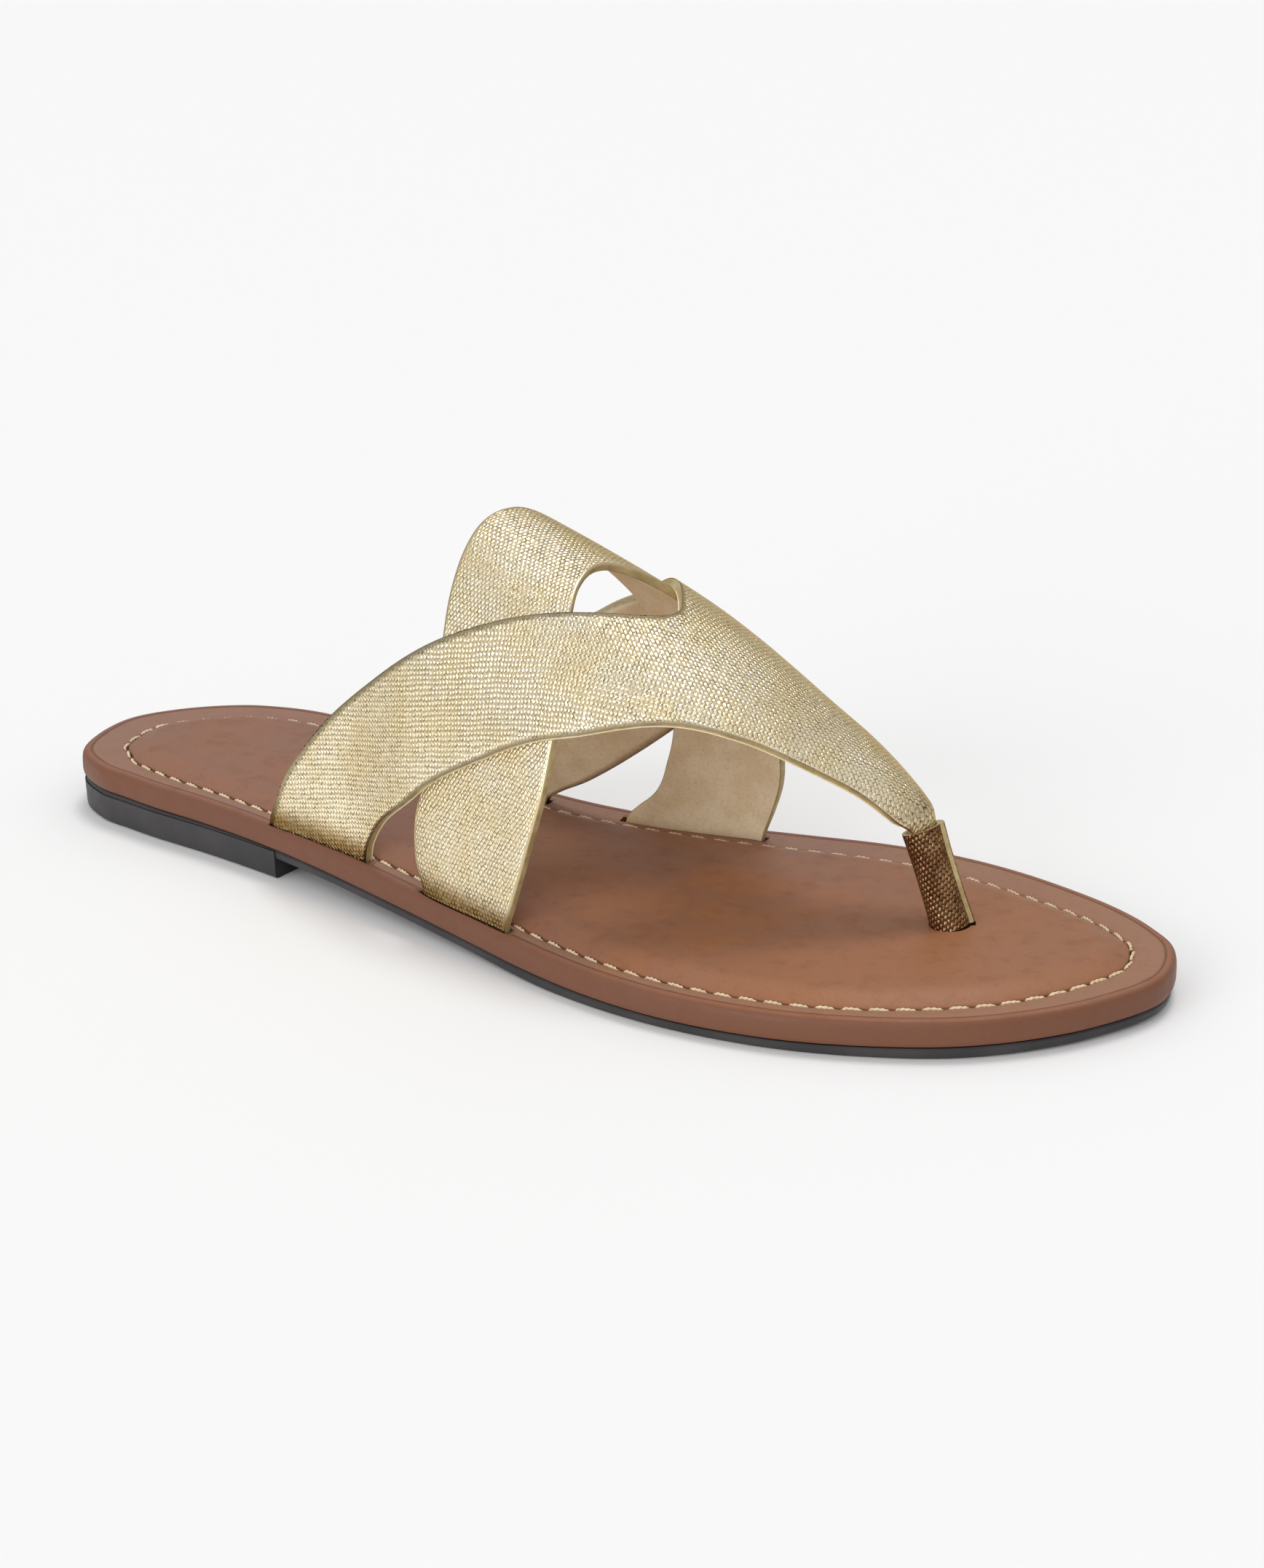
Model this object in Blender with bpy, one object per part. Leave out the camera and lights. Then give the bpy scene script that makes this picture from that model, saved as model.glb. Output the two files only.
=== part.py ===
import math

import bmesh
import bpy
import numpy as np
from mathutils import Vector

# Cross strap sandal, right shoe. Metres, toe towards +X, medial side towards +Y, floor at Z = 0.
# Every table is in millimetres and is brought to metres when the vertices are made.
MM = 0.001

# Driving sizes
SOLE_LENGTH = 253.0
HEEL_END_X = -127.6
ORIGIN_X = -1.1
BALL_WIDTH = 93.0
INSTEP_HEIGHT = 81.0
BOARD_THICKNESS = 5.4
STRAP_THICKNESS = 1.8
STRAP_LAP = 0.3
FIT = 0.3
PAD_RECESS = 1.0
HEEL_LENGTH = 68.6
HEEL_BREAST_X = HEEL_END_X + HEEL_LENGTH
HEEL_INSET = 0.5
HEEL_TOP = 6.2
OUTSOLE_INSET = 0.6
SLEEVE_HALF_WIDTH = 4.2
SLEEVE_HALF_DEPTH = 3.5
SLEEVE_WALL = 0.9
SLEEVE_FOOT = (0.8225, 0.1022)
SLEEVE_HEAD = (0.7953, 0.0995, 0.3488)
SLEEVE_SINK = 1.2
SLEEVE_FLARE = 0.25
SLEEVE_BASE = 0.0

# Outline of the board: length share from the heel, lateral and medial reach as shares of the ball width
OUTLINE_COLUMNS = ("length", "lateral", "medial")
OUTLINE = (
    (0.000, 0.038, 0.038),
    (0.019, 0.163, 0.166),
    (0.060, 0.234, 0.285),
    (0.095, 0.249, 0.333),
    (0.129, 0.260, 0.357),
    (0.188, 0.270, 0.361),
    (0.259, 0.292, 0.328),
    (0.326, 0.322, 0.288),
    (0.386, 0.352, 0.272),
    (0.445, 0.383, 0.285),
    (0.504, 0.417, 0.323),
    (0.564, 0.454, 0.374),
    (0.623, 0.481, 0.432),
    (0.682, 0.490, 0.484),
    (0.742, 0.476, 0.510),
    (0.801, 0.438, 0.502),
    (0.860, 0.369, 0.467),
    (0.908, 0.289, 0.423),
    (0.947, 0.186, 0.366),
    (0.980, 0.049, 0.288),
    (1.000, -0.129, 0.129),
)

# Underside of the board above the floor: length share, height
BOARD_LEVEL = (
    (0.000, 7.6),
    (0.129, 7.2),
    (0.259, 6.7),
    (0.326, 6.1),
    (0.386, 5.2),
    (0.445, 4.3),
    (0.504, 3.4),
    (0.564, 2.7),
    (0.623, 2.3),
    (0.682, 2.1),
    (0.801, 2.2),
    (0.860, 2.4),
    (0.947, 2.8),
    (1.000, 3.1),
)

# Underside of the thin outsole: length share, height
TREAD_LEVEL = (
    (0.000, 5.0),
    (0.259, 4.4),
    (0.326, 3.9),
    (0.386, 3.0),
    (0.445, 2.1),
    (0.504, 1.2),
    (0.554, 0.4),
    (0.590, 0.0),
    (0.610, 0.0),
    (0.860, 0.0),
    (0.880, 0.0),
    (0.939, 0.3),
    (1.000, 0.9),
)

# Board profile from the bottom edge inwards over the rim: inset, height
BOARD_PROFILE = (
    (0.90, 0.0),
    (0.25, 0.35),
    (0.00, 1.2),
    (0.00, 3.3),
    (0.20, 4.5),
    (0.70, 5.15),
    (1.50, 5.4),
)

# Margin between the outline and the pad: length share, lateral, medial
PAD_MARGIN = (
    (0.00, 10.4, 10.4),
    (0.05, 9.4, 10.4),
    (0.08, 7.5, 9.9),
    (0.13, 6.4, 9.4),
    (0.20, 5.8, 9.4),
    (0.50, 5.8, 9.7),
    (0.75, 5.8, 10.9),
    (0.85, 6.1, 10.9),
    (0.90, 6.9, 10.2),
    (0.95, 7.4, 9.4),
    (1.00, 8.9, 8.9),
)

# Pad profile from its lower edge inwards: inset beyond the pad edge, height above the rim
PAD_PROFILE = (
    (0.0, -0.70),
    (0.0, -0.10),
    (0.4, 0.25),
    (1.4, 0.80),
    (3.0, 1.50),
    (5.5, 2.20),
)

# Form the straps lie on, one row a station of its crest. Stations and x are length shares from the heel,
# heights are shares of the instep height, y and reaches are shares of the ball width
FORM_COLUMNS = ("station", "crest_x", "crest_y", "crest_z", "base_x", "base_z", "lateral", "medial")
FORM = (
    (0.2514, 0.2514, 0.0108, 1.1728, 0.2514, 0.1494, 0.2688, 0.2538),
    (0.3265, 0.3265, 0.0000, 1.1173, 0.3265, 0.1420, 0.2882, 0.2290),
    (0.3858, 0.3858, -0.0108, 1.0617, 0.3858, 0.1309, 0.3086, 0.2258),
    (0.4530, 0.4530, -0.0215, 1.0012, 0.4530, 0.1198, 0.3333, 0.2538),
    (0.5123, 0.5123, -0.0269, 0.9395, 0.5123, 0.1074, 0.3624, 0.2968),
    (0.5557, 0.5557, -0.0323, 0.8852, 0.5557, 0.1012, 0.3849, 0.3441),
    (0.5953, 0.5953, -0.0376, 0.8272, 0.5953, 0.0975, 0.3978, 0.3849),
    (0.6308, 0.6308, -0.0376, 0.7704, 0.6308, 0.0951, 0.3871, 0.3806),
    (0.6664, 0.6664, -0.0269, 0.7074, 0.6664, 0.0926, 0.3602, 0.3441),
    (0.7059, 0.7020, 0.0000, 0.6272, 0.7020, 0.0926, 0.3333, 0.3011),
    (0.7455, 0.7336, 0.0376, 0.5457, 0.7336, 0.0988, 0.2849, 0.2581),
    (0.7810, 0.7632, 0.0667, 0.4741, 0.7573, 0.1358, 0.1935, 0.1828),
    (0.8107, 0.7858, 0.0871, 0.4136, 0.7692, 0.2037, 0.1237, 0.1151),
    (0.8344, 0.7953, 0.0989, 0.3827, 0.7787, 0.2938, 0.0532, 0.0500),
    (0.8482, 0.7980, 0.1000, 0.3519, 0.7893, 0.3198, 0.0258, 0.0258),
    (0.8640, 0.8028, 0.1000, 0.3037, 0.7941, 0.2728, 0.0215, 0.0215),
)
FORM_FULLNESS = 2.15

# Lateral side of the form set out near the board: length share, share of the ball width added at the foot
FOOT_FLARE = (
    (0.2514, 0.0215),
    (0.2672, 0.0215),
    (0.3265, 0.0183),
    (0.3818, 0.0086),
    (0.4174, 0.0129),
    (0.4490, 0.0204),
    (0.5123, 0.0183),
    (0.5439, 0.0151),
    (0.5834, 0.0086),
    (0.6229, 0.0000),
    (0.8640, 0.0000),
)
FLARE_TOP = 0.45

# Cross band, one row an angle over the form: rear and front edge as length shares
BAND_COLUMNS = ("angle", "rear", "front")
BAND = (
    (-1.6, 0.4466, 0.5391),
    (0.6, 0.4455, 0.5403),
    (3.0, 0.4387, 0.5447),
    (8.0, 0.4340, 0.5518),
    (15.0, 0.4372, 0.5589),
    (27.0, 0.4415, 0.5676),
    (38.0, 0.4435, 0.5680),
    (52.0, 0.4395, 0.5589),
    (65.0, 0.4383, 0.5470),
    (77.0, 0.4403, 0.5372),
    (88.0, 0.4466, 0.5364),
    (102.0, 0.4632, 0.5565),
    (115.0, 0.4893, 0.5767),
    (128.0, 0.5194, 0.5937),
    (143.0, 0.5304, 0.6111),
    (158.0, 0.5304, 0.6213),
    (168.0, 0.5221, 0.6174),
    (175.0, 0.5095, 0.6071),
    (179.4, 0.4877, 0.5992),
    (181.6, 0.4838, 0.5968),
)

# Lateral half of the forked strap, slot first: lower edge, then upper edge up to the crotch and the tip,
# each as a length share and an angle over the form
LATERAL_COLUMNS = ("lower_station", "lower_angle", "upper_station", "upper_angle")
LATERAL = (
    (0.3739, -1.6, 0.2672, -1.6),
    (0.3751, 0.6, 0.2680, 0.6),
    (0.3794, 3.0, 0.2743, 3.0),
    (0.3953, 7.0, 0.2885, 8.0),
    (0.4253, 12.0, 0.3304, 18.0),
    (0.4522, 17.3, 0.3838, 29.0),
    (0.5028, 26.0, 0.4451, 42.0),
    (0.5478, 34.5, 0.4941, 52.5),
    (0.5885, 42.0, 0.5534, 66.6),
    (0.6186, 49.0, 0.5850, 76.0),
    (0.6364, 53.5, 0.6008, 82.4),
    (0.6482, 56.2, 0.6055, 85.8),
    (0.6601, 58.6, 0.6067, 88.6),
    (0.6822, 62.3, 0.6486, 90.0),
    (0.7091, 66.0, 0.6862, 91.0),
    (0.7455, 68.4, 0.7316, 91.0),
    (0.7787, 67.8, 0.7711, 91.0),
    (0.8028, 64.0, 0.7988, 91.0),
    (0.8206, 58.8, 0.8186, 91.0),
    (0.8383, 50.0, 0.8383, 91.0),
    (0.8561, 30.0, 0.8561, 91.0),
)

# Medial half of the forked strap, same order
MEDIAL = (
    (0.4103, 181.6, 0.3146, 181.6),
    (0.4150, 179.4, 0.3154, 179.4),
    (0.4300, 177.5, 0.3225, 177.0),
    (0.4569, 174.5, 0.3368, 172.0),
    (0.4917, 169.0, 0.3779, 162.0),
    (0.5241, 162.5, 0.4312, 150.5),
    (0.5617, 153.5, 0.4862, 138.0),
    (0.5953, 145.5, 0.5257, 128.0),
    (0.6229, 138.5, 0.5613, 113.0),
    (0.6411, 132.5, 0.5846, 101.8),
    (0.6530, 128.0, 0.5984, 94.6),
    (0.6617, 125.4, 0.6047, 91.2),
    (0.6704, 123.0, 0.6067, 88.6),
    (0.6901, 119.3, 0.6486, 90.0),
    (0.7138, 116.0, 0.6862, 91.0),
    (0.7474, 115.0, 0.7316, 91.0),
    (0.7791, 118.0, 0.7711, 91.0),
    (0.8028, 121.0, 0.7988, 91.0),
    (0.8206, 124.0, 0.8186, 91.0),
    (0.8383, 132.0, 0.8383, 91.0),
    (0.8561, 152.0, 0.8561, 91.0),
)
CROTCH_ROW = 12
LATERAL_LIFT = (0.3384, 0.4372)
MEDIAL_LIFT = (0.4332, 0.5123)
LIFT_ANGLE = 12.0

# Toe post sleeve along its axis: share of its height, growth of its half widths
SLEEVE_ROWS = (
    (0.24, 0.08),
    (0.45, 0.00),
    (0.72, 0.00),
    (1.00, 0.20),
)

# Slots in the board for the strap ends: name, rear and front length share, side of the form as an angle
SLOTS = (
    ("slot_rear_lateral", 0.2672, 0.3747, 0.0),
    ("slot_front_lateral", 0.4451, 0.5403, 0.0),
    ("slot_rear_medial", 0.3146, 0.4158, 180.0),
    ("slot_front_medial", 0.4838, 0.5992, 180.0),
)
SLOT_DROPS = (-3.6, 0.0, 4.0)
SLOT_END_GAP = 0.5

# Mesh resolution
SOLE_STATIONS = 44
BAND_STEPS = 46
BAND_COLUMNS_ACROSS = 8
VAMP_STEPS = 60
VAMP_COLUMNS_ACROSS = 6
SLEEVE_SIDES = 28


def tangents(xs, ys):
    slopes = np.zeros_like(ys)
    step = np.diff(xs)
    rise = np.diff(ys, axis=0) / step[:, None]
    slopes[0] = rise[0]
    slopes[-1] = rise[-1]
    before = step[:-1, None]
    after = step[1:, None]
    slopes[1:-1] = (rise[:-1] * after + rise[1:] * before) / (before + after)
    return slopes


def smooth_rows(rows, xs):
    data = np.array(rows, dtype=float)
    keys = data[:, 0]
    vals = data[:, 1:]
    slopes = tangents(keys, vals)
    xs = np.clip(np.asarray(xs, dtype=float), keys[0], keys[-1])
    i = np.clip(np.searchsorted(keys, xs, side="right") - 1, 0, len(keys) - 2)
    span = (keys[i + 1] - keys[i])[..., None]
    t = ((xs - keys[i]) / span[..., 0])[..., None]
    h00 = 2 * t ** 3 - 3 * t ** 2 + 1
    h10 = t ** 3 - 2 * t ** 2 + t
    h01 = -2 * t ** 3 + 3 * t ** 2
    h11 = t ** 3 - t ** 2
    return h00 * vals[i] + h10 * span * slopes[i] + h01 * vals[i + 1] + h11 * span * slopes[i + 1]


def place(share):
    return HEEL_END_X + np.asarray(share, dtype=float) * SOLE_LENGTH


# Rows brought to millimetres: s a length share, w a share of the ball width, h one of the height, a an angle
def sized(rows, kinds):
    data = np.array(rows, dtype=float)
    sizes = {"s": place, "w": lambda v: v * BALL_WIDTH, "h": lambda v: v * INSTEP_HEIGHT, "a": lambda v: v}
    return np.stack([sizes[kind](data[:, i]) for i, kind in enumerate(kinds)], axis=1)


def level(rows, x):
    share = np.clip((np.asarray(x, dtype=float) - HEEL_END_X) / SOLE_LENGTH, 0.0, 1.0)
    return smooth_rows(rows, share)[..., 0]


# The forefoot stands flat on the floor
def tread(x):
    return np.maximum(level(TREAD_LEVEL, x), 0.0)


def ease(t):
    t = np.clip(t, 0.0, 1.0)
    return t * t * (3 - 2 * t)


# Outline as pairs of points at matching stations, the heel end first and the toe end last
def outline_loop():
    rows = np.array(OUTLINE, dtype=float)
    x = HEEL_END_X + rows[:, 0] * SOLE_LENGTH
    lateral = np.c_[x, -rows[:, 1] * BALL_WIDTH]
    medial = np.c_[x, rows[:, 2] * BALL_WIDTH]
    controls = np.vstack([lateral[:-1], [[x[-1], rows[-1, 2] * BALL_WIDTH]], medial[1:-1][::-1]])
    controls[0, 1] = rows[0, 2] * BALL_WIDTH
    closed = np.vstack([controls[-3:], controls, controls[:3]])
    chord = np.sqrt(np.linalg.norm(np.diff(closed, axis=0), axis=1))
    key = np.r_[0.0, np.cumsum(chord)]
    count = len(lateral)
    heel_key = key[3]
    toe_key = key[3 + count - 1]
    end_key = key[3 + len(controls)]
    share = (1 - np.cos(np.linspace(0, math.pi, SOLE_STATIONS + 1))) / 2
    share = 0.55 * share + 0.45 * np.linspace(0, 1, SOLE_STATIONS + 1)
    first = heel_key + (toe_key - heel_key) * share
    second = end_key - (end_key - toe_key) * share
    table = np.c_[key, closed]
    lateral_line = smooth_rows(table, first)
    medial_line = smooth_rows(table, second)
    return np.vstack([lateral_line, medial_line[1:-1][::-1]])


def loop_inset(loop, inset):
    ahead = np.roll(loop, -1, axis=0) - np.roll(loop, 1, axis=0)
    normal = np.c_[-ahead[:, 1], ahead[:, 0]]
    normal /= np.linalg.norm(normal, axis=1)[:, None]
    return loop + normal * np.broadcast_to(inset, len(loop))[:, None]


def cap_pairs(start, flip):
    n = SOLE_STATIONS
    total = 2 * n
    faces = []
    for k in range(n):
        a = start + k
        b = start + k + 1
        c = start + (total - k - 1) % total
        d = start + (total - k) % total
        face = [a, b, c] if k == 0 else ([a, b, d] if b == c else [a, b, c, d])
        faces.append(face[::-1] if flip else face)
    return faces


# Solid from stacked rings of the outline, closed by strips across the first and last ring
def ring_solid(rings):
    n = 2 * SOLE_STATIONS
    verts = [tuple(p) for ring in rings for p in ring]
    faces = []
    for r in range(len(rings) - 1):
        for k in range(n):
            a = r * n + k
            b = r * n + (k + 1) % n
            faces.append([a, b, b + n, a + n])
    faces += cap_pairs(0, True)
    faces += cap_pairs((len(rings) - 1) * n, False)
    return verts, faces


FORM_ROWS = sized(FORM, "sswhshww")
FLARE_ROWS = sized(FOOT_FLARE, "sw")
BAND_ROWS = sized(BAND, "ass")
LATERAL_ROWS = sized(LATERAL, "sasa")
MEDIAL_ROWS = sized(MEDIAL, "sasa")


def foot_flare(station, lift):
    return smooth_rows(FLARE_ROWS, station)[..., 0] * (1 - ease(lift / FLARE_TOP))


def form_at(station, angle):
    row = smooth_rows(FORM_ROWS, station)
    turn = np.radians(angle)
    power = 2.0 / FORM_FULLNESS
    lift = np.sign(np.sin(turn)) * np.abs(np.sin(turn)) ** power
    side = np.sign(np.cos(turn)) * np.abs(np.cos(turn)) ** power
    reach = np.where(np.cos(turn) > 0, row[..., 5] + foot_flare(station, lift), row[..., 6])
    x = row[..., 3] + (row[..., 0] - row[..., 3]) * lift
    y = row[..., 1] - reach * side
    z = row[..., 4] + (row[..., 2] - row[..., 4]) * lift
    return np.stack([x, y, z], axis=-1)


def form_normal(station, angle):
    station = np.asarray(station, dtype=float)
    angle = np.asarray(angle, dtype=float)
    along = form_at(station + 0.05, angle) - form_at(station - 0.05, angle)
    across = form_at(station, angle + 0.1) - form_at(station, angle - 0.1)
    normal = np.cross(along, across)
    return normal / np.linalg.norm(normal, axis=-1, keepdims=True)


def sheet_solid(outer, inner, faces):
    count = len(outer)
    verts = [tuple(p) for p in outer] + [tuple(p) for p in inner]
    solid = [list(f) for f in faces]
    solid += [[i + count for i in reversed(f)] for f in faces]
    edges = {}
    for f in faces:
        for i in range(len(f)):
            edges[(f[i], f[(i + 1) % len(f)])] = True
    for (a, b) in edges:
        if (b, a) not in edges:
            solid.append([b, a, a + count, b + count])
    return verts, solid


def grid_faces(rows, columns, start=0):
    faces = []
    for r in range(rows - 1):
        for c in range(columns - 1):
            a = start + r * columns + c
            faces.append([a, a + 1, a + columns + 1, a + columns])
    return faces


def band_grid(steps, columns):
    angles = np.linspace(0, 1, steps + 1)
    low = BAND_ROWS[0, 0]
    high = BAND_ROWS[-1, 0]
    angle = low + (high - low) * angles
    edges = smooth_rows(BAND_ROWS, angle)
    across = np.linspace(0, 1, columns + 1)
    station = edges[:, :1] + (edges[:, 1:2] - edges[:, :1]) * across[None, :]
    return station, np.repeat(angle[:, None], columns + 1, axis=1)


def half_grid(rows, steps, columns):
    keyed = [(float(i),) + tuple(r) for i, r in enumerate(rows)]
    where = np.linspace(0, len(rows) - 1, steps + 1)
    lower = smooth_rows(keyed, where)
    arm = smooth_rows(keyed[:CROTCH_ROW + 1], where)
    front = smooth_rows(keyed[CROTCH_ROW:], where)
    upper_edge = np.where((where < CROTCH_ROW)[:, None], arm, front)
    across = np.linspace(0, 1, columns + 1)
    station = lower[:, 0:1] + (upper_edge[:, 2:3] - lower[:, 0:1]) * across[None, :]
    angle = lower[:, 1:2] + (upper_edge[:, 3:4] - lower[:, 1:2]) * across[None, :]
    return station, angle


def strap_lift(station, span):
    start, end = place(span)
    return (STRAP_THICKNESS - STRAP_LAP) * ease((station - start) / (end - start))


def make_mesh(name, verts, faces):
    mesh = bpy.data.meshes.new(name)
    mesh.from_pydata([Vector((v[0] - ORIGIN_X, v[1], v[2])) * MM for v in verts], [], faces)
    bm = bmesh.new()
    bm.from_mesh(mesh)
    bmesh.ops.remove_doubles(bm, verts=bm.verts, dist=0.00001)
    bmesh.ops.dissolve_degenerate(bm, edges=bm.edges, dist=0.00001)
    bmesh.ops.recalc_face_normals(bm, faces=bm.faces)
    bm.to_mesh(mesh)
    bm.free()
    obj = bpy.data.objects.new(name, mesh)
    bpy.context.scene.collection.objects.link(obj)
    return obj


def paint(obj, name, colour, roughness, metallic):
    mat = bpy.data.materials.new(name)
    mat.use_nodes = True
    shader = mat.node_tree.nodes["Principled BSDF"]
    shader.inputs["Base Color"].default_value = (colour[0], colour[1], colour[2], 1.0)
    shader.inputs["Roughness"].default_value = roughness
    shader.inputs["Metallic"].default_value = metallic
    obj.data.materials.clear()
    obj.data.materials.append(mat)


def cut(obj, tool, how):
    mod = obj.modifiers.new(how.lower() + "_" + tool.name, "BOOLEAN")
    mod.operation = how
    mod.solver = "EXACT"
    mod.object = tool
    tool.hide_render = True
    tool.display_type = "WIRE"


def smooth(obj, degrees):
    obj.data.shade_smooth()
    obj.data.set_sharp_from_angle(angle=math.radians(degrees))


for old in list(bpy.data.objects):
    bpy.data.objects.remove(old)



def pad_margin(loop):
    share = (loop[:, 0] - HEEL_END_X) / SOLE_LENGTH
    margin = smooth_rows(PAD_MARGIN, share)
    lateral = np.arange(len(loop)) <= SOLE_STATIONS
    return np.where(lateral, margin[:, 0], margin[:, 1])


OUTER = outline_loop()
MARGIN = pad_margin(OUTER)


def board_ring(inset, height):
    loop = loop_inset(OUTER, inset)
    return np.c_[loop, level(BOARD_LEVEL, loop[:, 0]) + height]


# Board with rounded rim and the shallow recess for the pad
rings = [board_ring(inset, height) for inset, height in BOARD_PROFILE]
rings.append(board_ring(MARGIN - FIT, BOARD_THICKNESS))
rings.append(board_ring(MARGIN - FIT, BOARD_THICKNESS - PAD_RECESS))
midsole = make_mesh("midsole", *ring_solid(rings))

# Raised pad
rings = [board_ring(MARGIN + inset, BOARD_THICKNESS + height) for inset, height in PAD_PROFILE]
pad = make_mesh("insole_pad", *ring_solid(rings))

# Thin outsole
top = loop_inset(OUTER, OUTSOLE_INSET)
low = loop_inset(OUTER, OUTSOLE_INSET + 0.1)
foot = loop_inset(OUTER, OUTSOLE_INSET + 0.8)
rings = [
    np.c_[foot, tread(foot[:, 0])],
    np.c_[low, tread(low[:, 0]) + 0.5],
    np.c_[top, level(BOARD_LEVEL, top[:, 0]) - FIT],
]
outsole = make_mesh("outsole", *ring_solid(rings))


# Heel block, closed by its upright breast
def heel_loop(inset, height):
    loop = loop_inset(OUTER, inset)
    n = 2 * SOLE_STATIONS
    order = [loop[i] for i in range(-SOLE_STATIONS, SOLE_STATIONS)]
    points = []
    for a, b in zip(order[:-1], order[1:]):
        inside_a = a[0] < HEEL_BREAST_X
        inside_b = b[0] < HEEL_BREAST_X
        if inside_a:
            points.append((a[0], a[1]))
        if inside_a != inside_b:
            t = (HEEL_BREAST_X - a[0]) / (b[0] - a[0])
            points.append((HEEL_BREAST_X, a[1] + t * (b[1] - a[1])))
    return [(p[0], p[1], height) for p in points]


heel_rings = [
    heel_loop(HEEL_INSET + 0.7, 0.0),
    heel_loop(HEEL_INSET, 0.7),
    heel_loop(HEEL_INSET - 0.2, HEEL_TOP),
]
count = min(len(r) for r in heel_rings)
verts = [p for ring in heel_rings for p in ring[:count]]
faces = [list(range(count))[::-1], list(range(2 * count, 3 * count))]
for r in range(2):
    for k in range(count):
        a = r * count + k
        b = r * count + (k + 1) % count
        faces.append([a, b, b + count, a + count])
heel_form = make_mesh("heel_form", verts, faces)
cut(outsole, heel_form, "UNION")

# Cross band
station, angle = band_grid(BAND_STEPS, BAND_COLUMNS_ACROSS)
base = form_at(station, angle).reshape(-1, 3)
out = form_normal(station, angle).reshape(-1, 3)
faces = grid_faces(BAND_STEPS + 1, BAND_COLUMNS_ACROSS + 1)
upper = make_mesh("upper", *sheet_solid(base, base - out * STRAP_THICKNESS, faces))

# Forked strap, two halves that share the line from the crotch to the tip
outer_points = []
inner_points = []
faces = []
for rows, span, flip in ((LATERAL_ROWS, LATERAL_LIFT, False), (MEDIAL_ROWS, MEDIAL_LIFT, True)):
    station, angle = half_grid(rows, VAMP_STEPS, VAMP_COLUMNS_ACROSS)
    base = form_at(station, angle)
    out = form_normal(station, angle)
    lift = (strap_lift(station, span) * ease(np.minimum(angle, 180 - angle) / LIFT_ANGLE))[..., None]
    start = len(outer_points)
    outer_points += list((base + out * lift).reshape(-1, 3))
    inner_points += list((base + out * (lift - STRAP_THICKNESS)).reshape(-1, 3))
    grid = grid_faces(VAMP_STEPS + 1, VAMP_COLUMNS_ACROSS + 1, start)
    faces += [f[::-1] for f in grid] if flip else grid

weld = {}
index = []
kept_outer = []
kept_inner = []
for p, q in zip(outer_points, inner_points):
    key = (round(p[0], 3), round(p[1], 3), round(p[2], 3))
    if key not in weld:
        weld[key] = len(kept_outer)
        kept_outer.append(p)
        kept_inner.append(q)
    index.append(weld[key])
faces = [[index[i] for i in f] for f in faces]
fork_form = make_mesh("fork_form", *sheet_solid(kept_outer, kept_inner, faces))
cut(upper, fork_form, "UNION")


# Sleeve around the toe post and the tongue of the forked strap inside it, the base cut level
def sleeve_axis(share):
    foot_x = float(place(SLEEVE_FOOT[0]))
    foot_z = float(level(BOARD_LEVEL, foot_x)) + BOARD_THICKNESS + PAD_PROFILE[-1][1]
    foot_point = np.array([foot_x, SLEEVE_FOOT[1] * BALL_WIDTH, foot_z])
    head_point = sized([SLEEVE_HEAD], "swh")[0]
    return foot_point + (head_point - foot_point) * share, head_point - foot_point


def sleeve_ring(share, half_width, half_depth):
    centre, axis = sleeve_axis(share)
    axis = axis / np.linalg.norm(axis)
    side = np.array([0.0, 1.0, 0.0])
    front = np.cross(side, axis)
    front /= np.linalg.norm(front)
    side = np.cross(axis, front)
    ring = []
    for k in range(SLEEVE_SIDES):
        turn = 2 * math.pi * k / SLEEVE_SIDES
        ring.append(centre + front * half_depth * math.cos(turn) + side * half_width * math.sin(turn))
    if share == SLEEVE_BASE:
        base_z = sleeve_axis(0.0)[0][2] - SLEEVE_SINK
        ring = [p + axis * (base_z - p[2]) / axis[2] for p in ring]
    return ring


def tube(rings, closed_ends):
    n = SLEEVE_SIDES
    verts = [tuple(p) for ring in rings for p in ring]
    faces = []
    last = len(rings) if not closed_ends else len(rings) - 1
    for r in range(last):
        for k in range(n):
            a = r * n + k
            b = r * n + (k + 1) % n
            c = ((r + 1) % len(rings)) * n
            faces.append([a, b, c + (k + 1) % n, c + k])
    if closed_ends:
        faces.append(list(range(n))[::-1])
        faces.append(list(range((len(rings) - 1) * n, len(rings) * n)))
    return verts, faces


outer_rows = [(SLEEVE_BASE, SLEEVE_FLARE)] + list(SLEEVE_ROWS)
rings = [sleeve_ring(s, SLEEVE_HALF_WIDTH + g, SLEEVE_HALF_DEPTH + g) for s, g in outer_rows]
bore_width = SLEEVE_HALF_WIDTH - SLEEVE_WALL
bore_depth = SLEEVE_HALF_DEPTH - SLEEVE_WALL
rings += [sleeve_ring(s, bore_width + g, bore_depth + g) for s, g in reversed(outer_rows)]
sleeve = make_mesh("toe_post_sleeve", *tube(rings, False))

tongue_rows = ((0.22, -1.0), (0.27, 0.0), (0.60, 0.0), (0.92, 0.0), (1.04, -0.2), (1.10, -0.9))
rings = [sleeve_ring(s, bore_width - FIT + g, bore_depth - FIT + g) for s, g in tongue_rows]
tongue_form = make_mesh("tongue_form", *tube(rings, True))
cut(upper, tongue_form, "UNION")

# Hole in the pad for the sleeve
hole_width = SLEEVE_HALF_WIDTH + SLEEVE_FLARE + FIT
hole_depth = SLEEVE_HALF_DEPTH + SLEEVE_FLARE + FIT
rings = [sleeve_ring(s, hole_width, hole_depth) for s in (-0.5, 0.5)]
pad_hole = make_mesh("pad_hole", *tube(rings, True))
cut(pad, pad_hole, "DIFFERENCE")

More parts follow.
